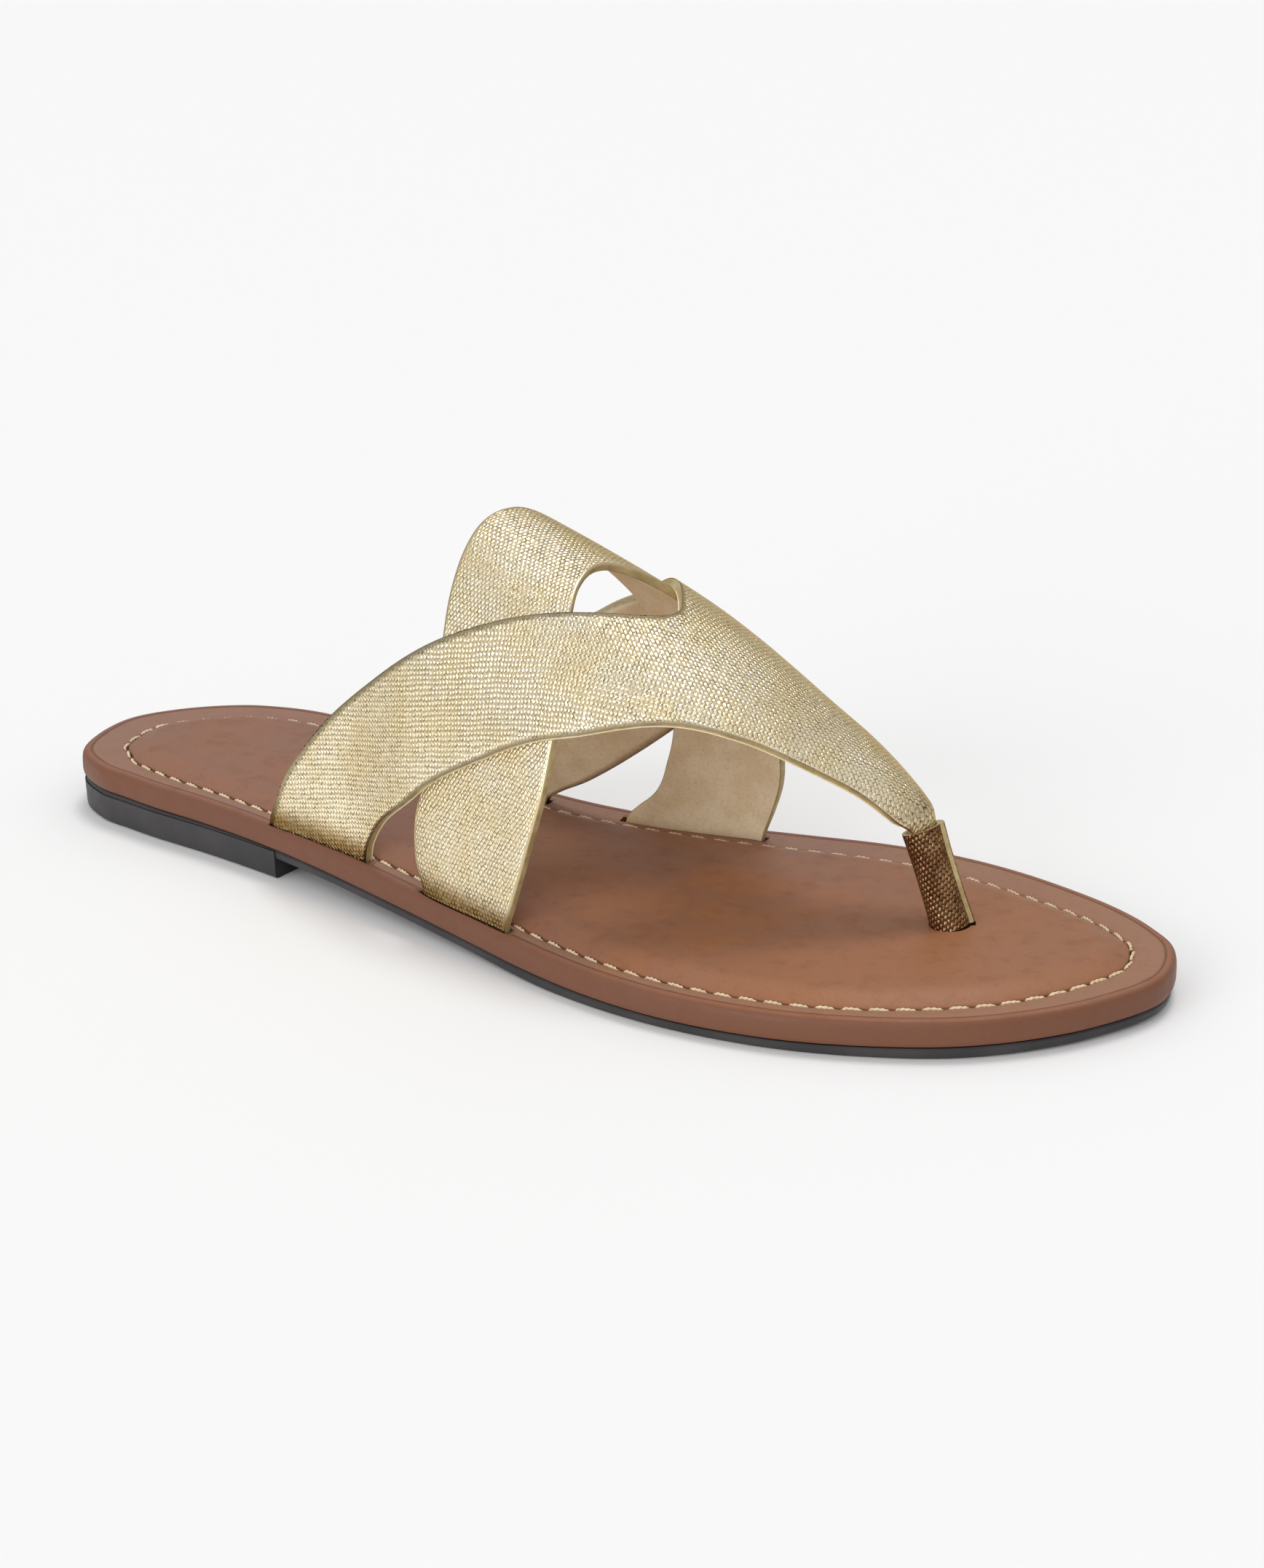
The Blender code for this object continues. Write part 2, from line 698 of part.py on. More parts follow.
# Slots in the board
for name, rear, front, side in SLOTS:
    stations = np.linspace(place(rear) - SLOT_END_GAP, place(front) + SLOT_END_GAP, 9)
    base = form_at(stations, np.full(9, side))
    out = form_normal(stations, np.full(9, side))
    out[:, 2] = 0.0
    out /= np.linalg.norm(out, axis=-1, keepdims=True)
    outer = np.vstack([base + out * FIT + (0.0, 0.0, drop) for drop in SLOT_DROPS])
    inner = np.vstack([base - out * (STRAP_THICKNESS + FIT) + (0.0, 0.0, drop) for drop in SLOT_DROPS])
    tool = make_mesh(name, *sheet_solid(outer, inner, grid_faces(len(SLOT_DROPS), 9)))
    cut(midsole, tool, "DIFFERENCE")

paint(outsole, "charcoal_rubber", (0.055, 0.055, 0.06), 0.6, 0.0)
paint(midsole, "brown_wrapped_board", (0.25, 0.11, 0.07), 0.4, 0.0)
paint(pad, "brown_footbed_leather", (0.24, 0.11, 0.07), 0.42, 0.0)
paint(upper, "champagne_foil_leather", (0.78, 0.68, 0.46), 0.35, 0.85)
paint(sleeve, "old_gold_weave", (0.50, 0.38, 0.16), 0.45, 0.7)

for obj in (outsole, midsole, pad, upper, sleeve):
    smooth(obj, 35.0)
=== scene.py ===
import math

import bmesh
import bpy
import numpy as np
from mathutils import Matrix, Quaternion, Vector
from mathutils.kdtree import KDTree


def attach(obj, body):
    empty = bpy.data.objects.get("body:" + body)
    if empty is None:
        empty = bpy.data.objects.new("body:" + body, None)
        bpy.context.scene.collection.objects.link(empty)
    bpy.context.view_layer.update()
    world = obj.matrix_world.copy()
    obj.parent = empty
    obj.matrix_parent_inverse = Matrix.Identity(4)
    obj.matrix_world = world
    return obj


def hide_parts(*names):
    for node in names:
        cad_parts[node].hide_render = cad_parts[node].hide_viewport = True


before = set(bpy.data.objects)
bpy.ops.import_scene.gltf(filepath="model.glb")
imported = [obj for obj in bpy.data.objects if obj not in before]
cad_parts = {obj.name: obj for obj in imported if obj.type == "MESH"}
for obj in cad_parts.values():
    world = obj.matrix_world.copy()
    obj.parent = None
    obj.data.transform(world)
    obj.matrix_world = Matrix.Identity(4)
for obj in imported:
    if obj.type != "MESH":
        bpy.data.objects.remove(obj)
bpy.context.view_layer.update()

# Looks of the cross strap sandal, right shoe. Tables are in millimetres, in the frame of the part.
MM = 0.001

# Sizes shared with the solids
SOLE_LENGTH = 253.0
HEEL_END_X = -127.6
ORIGIN_X = -1.1
BALL_WIDTH = 93.0
BOARD_THICKNESS = 5.4
STRAP_THICKNESS = 1.8
LAYER_GAP = 0.05
FIT = 0.3
HEEL_BREAST_X = -59.0
HEEL_INSET = 0.5
HEEL_TOP = 6.2
OUTSOLE_INSET = 0.6
SLEEVE_HALF_WIDTH = 4.2
SLEEVE_HALF_DEPTH = 3.5
SLEEVE_WALL = 0.9
SLEEVE_FOOT = (80.5, 9.5)
SLEEVE_HEAD = (73.6, 9.25, 28.25)
SLEEVE_SINK = 1.2

# Outline of the board: length share from the heel, lateral and medial reach as shares of the ball width
OUTLINE = (
    (0.000, 0.038, 0.038),
    (0.019, 0.163, 0.166),
    (0.060, 0.234, 0.285),
    (0.095, 0.249, 0.333),
    (0.129, 0.260, 0.357),
    (0.188, 0.270, 0.361),
    (0.259, 0.292, 0.328),
    (0.326, 0.322, 0.288),
    (0.386, 0.352, 0.272),
    (0.445, 0.383, 0.285),
    (0.504, 0.417, 0.323),
    (0.564, 0.454, 0.374),
    (0.623, 0.481, 0.432),
    (0.682, 0.490, 0.484),
    (0.742, 0.476, 0.510),
    (0.801, 0.438, 0.502),
    (0.860, 0.369, 0.467),
    (0.908, 0.289, 0.423),
    (0.947, 0.186, 0.366),
    (0.980, 0.049, 0.288),
    (1.000, -0.129, 0.129),
)

# Underside of the board above the floor: length share, height
BOARD_LEVEL = (
    (0.000, 7.6),
    (0.129, 7.2),
    (0.259, 6.7),
    (0.326, 6.1),
    (0.386, 5.2),
    (0.445, 4.3),
    (0.504, 3.4),
    (0.564, 2.7),
    (0.623, 2.3),
    (0.682, 2.1),
    (0.801, 2.2),
    (0.860, 2.4),
    (0.947, 2.8),
    (1.000, 3.1),
)

# Underside of the thin outsole: length share, height
TREAD_LEVEL = (
    (0.000, 5.0),
    (0.259, 4.4),
    (0.326, 3.9),
    (0.386, 3.0),
    (0.445, 2.1),
    (0.504, 1.2),
    (0.554, 0.4),
    (0.590, 0.0),
    (0.610, 0.0),
    (0.860, 0.0),
    (0.880, 0.0),
    (0.939, 0.3),
    (1.000, 0.9),
)

# Board profile from the bottom edge inwards over the rolled edge and the soft fold: inset, height
BOARD_PROFILE = (
    (1.20, 0.00),
    (0.70, 0.04),
    (0.35, 0.20),
    (0.10, 0.60),
    (0.00, 1.20),
    (0.00, 2.10),
    (0.00, 3.00),
    (0.05, 3.80),
    (0.18, 4.45),
    (0.42, 4.92),
    (0.80, 5.24),
    (1.25, 5.38),
    (1.65, 5.40),
    (1.95, 5.34),
    (2.20, 5.28),
    (2.50, 5.32),
    (2.90, 5.39),
    (3.50, 5.40),
)

# Rim beside the pad, sunk along the seam: distance outside the pad edge, height
SEAM_PROFILE = (
    (1.60, 5.40),
    (1.15, 5.35),
    (0.85, 5.18),
    (0.60, 5.06),
    (0.30, 5.04),
    (0.30, 4.40),
)

# Margin between the outline and the pad: length share, lateral, medial
PAD_MARGIN = (
    (0.00, 10.4, 10.4),
    (0.05, 9.4, 10.4),
    (0.08, 7.5, 9.9),
    (0.13, 6.4, 9.4),
    (0.20, 5.8, 9.4),
    (0.50, 5.8, 9.7),
    (0.75, 5.8, 10.9),
    (0.85, 6.1, 10.9),
    (0.90, 6.9, 10.2),
    (0.95, 7.4, 9.4),
    (1.00, 8.9, 8.9),
)

# Pad profile from its lower edge inwards: inset beyond the pad edge, height above the rim
PAD_PROFILE = (
    (0.00, -0.80),
    (0.00, -0.40),
    (0.03, -0.22),
    (0.12, -0.04),
    (0.28, 0.12),
    (0.55, 0.30),
    (1.00, 0.56),
    (1.60, 0.88),
    (2.40, 1.26),
    (3.30, 1.63),
    (4.30, 1.94),
    (5.20, 2.13),
    (5.90, 2.20),
)

# Form the straps lie on: station, crest x, y, z, base x, z, lateral and medial reach
FORM = (
    (-64.0, -64.0, 1.0, 95.0, -64.0, 12.1, 25.0, 23.6),
    (-45.0, -45.0, 0.0, 90.5, -45.0, 11.5, 26.8, 21.3),
    (-30.0, -30.0, -1.0, 86.0, -30.0, 10.6, 28.7, 21.0),
    (-13.0, -13.0, -2.0, 81.1, -13.0, 9.7, 31.0, 23.6),
    (2.0, 2.0, -2.5, 76.1, 2.0, 8.7, 33.7, 27.6),
    (13.0, 13.0, -3.0, 71.7, 13.0, 8.2, 35.8, 32.0),
    (23.0, 23.0, -3.5, 67.0, 23.0, 7.9, 37.0, 35.8),
    (32.0, 32.0, -3.5, 62.4, 32.0, 7.7, 36.0, 35.4),
    (41.0, 41.0, -2.5, 57.3, 41.0, 7.5, 33.5, 32.0),
    (51.0, 50.0, 0.0, 50.8, 50.0, 7.5, 31.0, 28.0),
    (61.0, 58.0, 3.5, 44.2, 58.0, 8.0, 26.5, 24.0),
    (70.0, 65.5, 6.2, 38.4, 64.0, 11.0, 18.0, 17.0),
    (77.5, 71.2, 8.1, 33.5, 67.0, 16.5, 11.5, 10.7),
    (83.5, 73.6, 9.2, 31.0, 69.4, 23.8, 5.2, 4.8),
    (87.0, 74.3, 9.3, 28.5, 72.1, 25.9, 2.7, 2.7),
    (91.0, 75.5, 9.3, 24.6, 73.3, 22.1, 2.1, 2.1),
)
FORM_FULLNESS = 2.15

# Lateral side of the form set out near the board: station, reach added at the foot
FOOT_FLARE = (
    (-64.0, 2.0),
    (-60.0, 2.0),
    (-45.0, 1.7),
    (-31.0, 0.8),
    (-22.0, 1.2),
    (-14.0, 1.9),
    (2.0, 1.7),
    (10.0, 1.4),
    (20.0, 0.8),
    (30.0, 0.0),
    (91.0, 0.0),
)
FLARE_TOP = 0.45

# Cross band: angle over the form, rear and front edge stations
BAND = (
    (-1.6, -14.6, 8.8),
    (0.6, -14.9, 9.1),
    (3.0, -16.6, 10.2),
    (8.0, -17.8, 12.0),
    (15.0, -17.0, 13.8),
    (27.0, -15.9, 16.0),
    (38.0, -15.4, 16.1),
    (52.0, -16.4, 13.8),
    (65.0, -16.7, 10.8),
    (77.0, -16.2, 8.3),
    (88.0, -14.6, 8.1),
    (102.0, -10.4, 13.2),
    (115.0, -3.8, 18.3),
    (128.0, 3.8, 22.6),
    (143.0, 6.6, 27.0),
    (158.0, 6.6, 29.6),
    (168.0, 4.5, 28.6),
    (175.0, 1.3, 26.0),
    (179.4, -4.2, 24.0),
    (181.6, -5.2, 23.4),
)

# Halves of the forked strap: station and angle of the lower edge, then of the upper edge
LATERAL = (
    (-33.0, -1.6, -60.0, -1.6),
    (-32.7, 0.6, -59.8, 0.6),
    (-31.6, 3.0, -58.2, 3.0),
    (-27.6, 7.0, -54.6, 8.0),
    (-20.0, 12.0, -44.0, 18.0),
    (-13.2, 17.3, -30.5, 29.0),
    (-0.4, 26.0, -15.0, 42.0),
    (11.0, 34.5, -2.6, 52.5),
    (21.3, 42.0, 12.4, 66.6),
    (28.9, 49.0, 20.4, 76.0),
    (33.4, 53.5, 24.4, 82.4),
    (36.4, 56.2, 25.6, 85.8),
    (39.4, 58.6, 25.9, 88.6),
    (45.0, 62.3, 36.5, 90.0),
    (51.8, 66.0, 46.0, 91.0),
    (61.0, 68.4, 57.5, 91.0),
    (69.4, 67.8, 67.5, 91.0),
    (75.5, 64.0, 74.5, 91.0),
    (80.0, 57.0, 79.5, 91.0),
    (84.5, 46.0, 84.5, 91.0),
    (89.0, 30.0, 89.0, 91.0),
)
MEDIAL = (
    (-23.8, 181.6, -48.0, 181.6),
    (-22.6, 179.4, -47.8, 179.4),
    (-18.8, 177.5, -46.0, 177.0),
    (-12.0, 174.5, -42.4, 172.0),
    (-3.2, 169.0, -32.0, 162.0),
    (5.0, 162.5, -18.5, 150.5),
    (14.5, 153.5, -4.6, 138.0),
    (23.0, 145.5, 5.4, 128.0),
    (30.0, 138.5, 14.4, 113.0),
    (34.6, 132.5, 20.3, 101.8),
    (37.6, 128.0, 23.8, 94.6),
    (39.8, 125.4, 25.4, 91.2),
    (42.0, 123.0, 25.9, 88.6),
    (47.0, 119.3, 36.5, 90.0),
    (53.0, 116.0, 46.0, 91.0),
    (61.5, 115.0, 57.5, 91.0),
    (69.5, 118.0, 67.5, 91.0),
    (75.5, 121.0, 74.5, 91.0),
    (80.0, 124.0, 79.5, 91.0),
    (84.5, 132.0, 84.5, 91.0),
    (89.0, 152.0, 89.0, 91.0),
)
CROTCH_ROW = 12
LATERAL_LIFT = (-42.0, -17.0)
MEDIAL_LIFT = (-18.0, 2.0)
LIFT_ANGLE = 12.0

SLOTS = (
    ("slot_rear_lateral", -60.0, -32.8, 0.0),
    ("slot_front_lateral", -15.0, 9.1, 0.0),
    ("slot_rear_medial", -48.0, -22.4, 180.0),
    ("slot_front_medial", -5.2, 24.0, 180.0),
)
SLOT_DROPS = (-3.6, 0.0, 4.0)
SLOT_END_GAP = 0.5

# Mesh resolution
SOLE_STATIONS = 150
END_CROWDING = 0.55
EVEN_SPREAD = 0.45
FOLD_LIMIT = 0.12
FOLD_ROUNDS = 200
FOLD_REACH = (-3, 5)
BAND_STEPS = 170
BAND_ACROSS = 24
FORK_STEPS = 190
FORK_ACROSS = 20
EDGE_STEPS = 6
EDGE_RADIUS = 0.4
EDGE_FADE = 1.8
FOIL_WRAP = 4
LINING_WRAP = 2
SLEEVE_SIDES = 96
SLEEVE_STEPS = 48
SLOT_POINTS = 25
NORMAL_STEPS = (0.05, 0.1)
WELD_DIGITS = 3
SHARP_ANGLES = {"board": 40, "pad": 50, "outsole": 30, "sleeve": 50}

# Order of the materials on the straps and on the sleeve
OUTER_SLOT = 0
EDGE_SLOT = 1
INNER_SLOT = 2

# Stitches and needle holes
STITCH_PITCH = 5.0
STITCH_GAP = 0.6
STITCH_HOLE = 0.5
STITCH_RISE = 0.24
STITCH_ARCH = 0.45
STITCH_SINK = 0.35
STITCH_SINK_POWER = 8
STITCH_SLANT = 0.26
THREAD_RADIUS = 0.24
THREAD_TWIST = 1.9
THREAD_STEPS = 16
THREAD_SIDES = 6
SEAM_HEIGHT = 5.05
SEAM_STEP = 0.2
STRAND_OFFSET = 0.62
STRAND_PHASE = 0.7
STRAND_TAPER = 0.28
STRAND_TAPER_POWER = 0.4
HOLE_RADIUS = 0.5
HOLE_HEIGHT = 4.95
HOLE_DOME = 0.16
HOLE_TIP = 0.05
HOLE_ROWS = 4
HOLE_SIDES = 12

# Weave of the foil and of the sleeve: dash length, row pitch, turn of its rows in degrees
WEAVE_LENGTH = 1.20
WEAVE_PITCH = 0.76
SLEEVE_WEAVE_LENGTH = 1.25
SLEEVE_WEAVE_PITCH = 0.72
BAND_TURN = 61.0
FORK_TURN = -29.0
SLEEVE_TURN = 25.0

# Table of lengths on the form for the weave: first and last angle and station, with their counts
WEAVE_ANGLES = (-4.0, 184.0, 189)
WEAVE_STATIONS = (-70.0, 92.0, 163)
CREST_COLUMN = 94

# Lap of the sleeve: where its cut edge stands, how far it fades round, height
LAP_START = math.radians(16.0)
LAP_SPAN = math.radians(150.0)
LAP_HEIGHT = 0.75

# Sleeve: flare by the share of its length, then its foot in the pad, its thinner mouth and its hole
SLEEVE_FLARE = ((0.0, 0.25), (0.2, 0.08), (0.45, 0.0), (0.75, 0.02), (1.0, 0.2))
SLEEVE_FOOT_SHARE = 0.7
SLEEVE_MOUTH_FROM = 0.75
SLEEVE_MOUTH_THINNING = 0.2
POST_HOLE_FIT = 0.33
POST_HOLE_SPAN = (-0.5, 0.5)

# Edge of the thin outsole and of the heel block from the floor upwards: inset, height
OUTSOLE_EDGE = ((1.0, 0.0), (0.45, 0.12), (0.15, 0.45))
OUTSOLE_TOP_ROUND = (0.3, 0.35)
HEEL_EDGE = ((1.1, 0.0), (0.5, 0.15), (0.1, 0.6), (0.0, 1.2), (-0.2, HEEL_TOP))

# Floor and light
FLOOR_SIZE = 60.0
FLOOR_DROP = -0.02
FLOOR_GREY = 0.90
WORLD_LOW = 0.46
WORLD_HIGH = 0.65
WORLD_HIGH_FROM = 0.7

# Suns: name, place, spread in degrees, strength
SUNS = (
    ("key", (-0.05, 0.38, 1.35), 20.0, 0.90),
    ("front", (0.7, -1.1, 0.9), 26.0, 0.38),
    ("low", (-0.15, -1.2, 0.30), 40.0, 1.2),
)

# Camera at the photograph's place, with lens and shift set to frame the one shoe
EYE = (0.39453, -0.55788, 0.28131)
AIM = (-0.00334, 0.00801, 0.0)
ROLL = math.radians(-0.53)
PHOTO_LENS = 68.4
SENSOR_WIDTH = 36.0
CLIP_START = 0.01
FRAMING = 1.5
SHIFT = (0.0353, 0.0770)

# Colours, linear
FOIL_PALE = (0.95, 0.85, 0.62)
FOIL_WARM = (0.91, 0.78, 0.51)
# dark bronze: painted shade in the pits of the weave, also used to darken the foil towards its cut edge
FOIL_SHADE_BRONZE = (0.34, 0.215, 0.075)
# near black: painted dark reflection in speckled pits of the weave
FOIL_SPECK_SHADE = (0.13, 0.070, 0.022)
FOIL_GRAZE = (0.72, 0.58, 0.34, 1.0)
# dark gold-brown: painted shade and painted reflection of the brown board at the strap feet
FOIL_LOW_SHADE = (0.22, 0.125, 0.035)
EDGE_PALE = (0.56, 0.46, 0.23)
EDGE_DARK = (0.40, 0.31, 0.14)
LINING_PALE = (0.98, 0.86, 0.62)
LINING_DARK = (0.90, 0.75, 0.50)
LINING_PIT = (0.42, 0.29, 0.14)
BROWN_MAIN = (0.252, 0.124, 0.081)
BROWN_RED = (0.272, 0.121, 0.070)
BROWN_ORANGE = (0.35, 0.137, 0.046)
BROWN_DARK = (0.095, 0.040, 0.022)
BROWN_STRIP = (0.33, 0.20, 0.145)
BROWN_EDGE = (0.230, 0.082, 0.045)
RUBBER_DARK = (0.026, 0.025, 0.026)
RUBBER_PALE = (0.044, 0.040, 0.040)
THREAD_PALE = (0.80, 0.66, 0.44)
THREAD_DARK = (0.62, 0.47, 0.27)
# near black: painted shade inside the needle holes
HOLE_SHADE = (0.012, 0.006, 0.004)
SLEEVE_GOLD = (0.40, 0.245, 0.125)
SLEEVE_BRONZE = (0.24, 0.12, 0.058)
# near black: painted shade in the pits of the sleeve weave
SLEEVE_PIT_SHADE = (0.035, 0.018, 0.008)


def tangents(xs, ys):
    slopes = np.zeros_like(ys)
    step = np.diff(xs)
    rise = np.diff(ys, axis=0) / step[:, None]
    slopes[0] = rise[0]
    slopes[-1] = rise[-1]
    before = step[:-1, None]
    after = step[1:, None]
    slopes[1:-1] = (rise[:-1] * after + rise[1:] * before) / (before + after)
    return slopes


def smooth_rows(rows, xs):
    data = np.array(rows, dtype=float)
    keys = data[:, 0]
    vals = data[:, 1:]
    slopes = tangents(keys, vals)
    xs = np.clip(np.asarray(xs, dtype=float), keys[0], keys[-1])
    i = np.clip(np.searchsorted(keys, xs, side="right") - 1, 0, len(keys) - 2)
    span = (keys[i + 1] - keys[i])[..., None]
    t = ((xs - keys[i]) / span[..., 0])[..., None]
    h00 = 2 * t ** 3 - 3 * t ** 2 + 1
    h10 = t ** 3 - 2 * t ** 2 + t
    h01 = -2 * t ** 3 + 3 * t ** 2
    h11 = t ** 3 - t ** 2
    return h00 * vals[i] + h10 * span * slopes[i] + h01 * vals[i + 1] + h11 * span * slopes[i + 1]


def level(rows, x):
    share = np.clip((np.asarray(x, dtype=float) - HEEL_END_X) / SOLE_LENGTH, 0.0, 1.0)
    return smooth_rows(rows, share)[..., 0]


def tread(x):
    return np.maximum(level(TREAD_LEVEL, x), 0.0)


def ease(t):
    t = np.clip(t, 0.0, 1.0)
    return t * t * (3 - 2 * t)


def outline_loop():
    rows = np.array(OUTLINE, dtype=float)
    x = HEEL_END_X + rows[:, 0] * SOLE_LENGTH
    lateral = np.c_[x, -rows[:, 1] * BALL_WIDTH]
    medial = np.c_[x, rows[:, 2] * BALL_WIDTH]
    controls = np.vstack([lateral[:-1], [[x[-1], rows[-1, 2] * BALL_WIDTH]], medial[1:-1][::-1]])
    controls[0, 1] = rows[0, 2] * BALL_WIDTH
    closed = np.vstack([controls[-3:], controls, controls[:3]])
    chord = np.sqrt(np.linalg.norm(np.diff(closed, axis=0), axis=1))
    key = np.r_[0.0, np.cumsum(chord)]
    count = len(lateral)
    heel_key = key[3]
    toe_key = key[3 + count - 1]
    end_key = key[3 + len(controls)]
    share = (1 - np.cos(np.linspace(0, math.pi, SOLE_STATIONS + 1))) / 2
    share = END_CROWDING * share + EVEN_SPREAD * np.linspace(0, 1, SOLE_STATIONS + 1)
    first = heel_key + (toe_key - heel_key) * share
    second = end_key - (end_key - toe_key) * share
    table = np.c_[key, closed]
    lateral_line = smooth_rows(table, first)
    medial_line = smooth_rows(table, second)
    return np.vstack([lateral_line, medial_line[1:-1][::-1]])


def loop_inset(loop, inset):
    ahead = np.roll(loop, -1, axis=0) - np.roll(loop, 1, axis=0)
    normal = np.c_[-ahead[:, 1], ahead[:, 0]]
    normal /= np.linalg.norm(normal, axis=1)[:, None]
    return loop + normal * np.broadcast_to(inset, len(loop))[:, None]


def cap_pairs(start, flip):
    n = SOLE_STATIONS
    total = 2 * n
    faces = []
    for k in range(n):
        a = start + k
        b = start + k + 1
        c = start + (total - k - 1) % total
        d = start + (total - k) % total
        face = [a, b, c] if k == 0 else ([a, b, d] if b == c else [a, b, c, d])
        faces.append(face[::-1] if flip else face)
    return faces


# Quads between neighbouring rings, and from the last ring back to the first if wrapped
def ring_faces(start, rings, sides, wrapped=False):
    faces = []
    for r in range(rings if wrapped else rings - 1):
        a = start + r * sides
        b = start + (r + 1) % rings * sides
        for k in range(sides):
            j = (k + 1) % sides
            faces.append([a + k, a + j, b + j, b + k])
    return faces


def end_faces(start, rings, sides):
    last = start + (rings - 1) * sides
    return [list(range(start, start + sides))[::-1], list(range(last, last + sides))]


def ring_solid(rings):
    n = 2 * SOLE_STATIONS
    verts = [tuple(p) for ring in rings for p in ring]
    faces = ring_faces(0, len(rings), n)
    faces += cap_pairs(0, True)
    faces += cap_pairs((len(rings) - 1) * n, False)
    return verts, faces


def foot_flare(station, lift):
    return smooth_rows(FOOT_FLARE, station)[..., 0] * (1 - ease(lift / FLARE_TOP))


def form_at(station, angle):
    row = smooth_rows(FORM, station)
    turn = np.radians(angle)
    power = 2.0 / FORM_FULLNESS
    lift = np.sign(np.sin(turn)) * np.abs(np.sin(turn)) ** power
    side = np.sign(np.cos(turn)) * np.abs(np.cos(turn)) ** power
    reach = np.where(np.cos(turn) > 0, row[..., 5] + foot_flare(station, lift), row[..., 6])
    x = row[..., 3] + (row[..., 0] - row[..., 3]) * lift
    y = row[..., 1] - reach * side
    z = row[..., 4] + (row[..., 2] - row[..., 4]) * lift
    return np.stack([x, y, z], axis=-1)


def form_normal(station, angle):
    station = np.asarray(station, dtype=float)
    angle = np.asarray(angle, dtype=float)
    forward, round_step = NORMAL_STEPS
    along = form_at(station + forward, angle) - form_at(station - forward, angle)
    across = form_at(station, angle + round_step) - form_at(station, angle - round_step)
    normal = np.cross(along, across)
    return normal / np.linalg.norm(normal, axis=-1, keepdims=True)


def grid_faces(rows, columns, start=0):
    faces = []
    for r in range(rows - 1):
        for c in range(columns - 1):
            a = start + r * columns + c
            faces.append([a, a + 1, a + columns + 1, a + columns])
    return faces


def half_grid(rows, steps, columns):
    keyed = [(float(i),) + tuple(r) for i, r in enumerate(rows)]
    where = np.linspace(0, len(rows) - 1, steps + 1)
    lower = smooth_rows(keyed, where)
    arm = smooth_rows(keyed[:CROTCH_ROW + 1], where)
    front = smooth_rows(keyed[CROTCH_ROW:], where)
    upper_edge = np.where((where < CROTCH_ROW)[:, None], arm, front)
    across = np.linspace(0, 1, columns + 1)
    station = lower[:, 0:1] + (upper_edge[:, 2:3] - lower[:, 0:1]) * across[None, :]
    angle = lower[:, 1:2] + (upper_edge[:, 3:4] - lower[:, 1:2]) * across[None, :]
    return station, angle


def strap_lift(station, span):
    return (STRAP_THICKNESS + LAYER_GAP) * ease((station - span[0]) / (span[1] - span[0]))


def make_object(name, verts, faces, slots, face_slots=None, fields=None):
    mesh = bpy.data.meshes.new(name)
    mesh.from_pydata([Vector((v[0] - ORIGIN_X, v[1], v[2])) * MM for v in verts], [], faces)
    for material in slots:
        mesh.materials.append(material)
    if face_slots is not None:
        mesh.polygons.foreach_set("material_index", np.asarray(face_slots, dtype=np.int32))
    for field, values in (fields or {}).items():
        layer = mesh.attributes.new(field, "FLOAT_VECTOR", "POINT")
        layer.data.foreach_set("vector", np.asarray(values, dtype=np.float32).ravel())
    mesh.update()
    mesh.shade_smooth()
    obj = bpy.data.objects.new(name, mesh)
    bpy.context.scene.collection.objects.link(obj)
    return obj


def settle(obj, slot_name, *nodes):
    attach(obj, "root")
    if nodes:
        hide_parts(*nodes)
    return obj


def combine(obj, tool, how):
    mod = obj.modifiers.new("shape_" + tool.name, "BOOLEAN")
    mod.operation = how
    mod.solver = "EXACT"
    mod.object = tool


def apply_modifiers(obj, tools):
    graph = bpy.context.evaluated_depsgraph_get()
    mesh = bpy.data.meshes.new_from_object(obj.evaluated_get(graph))
    obj.modifiers.clear()
    obj.data = mesh
    for tool in tools:
        bpy.data.objects.remove(tool)


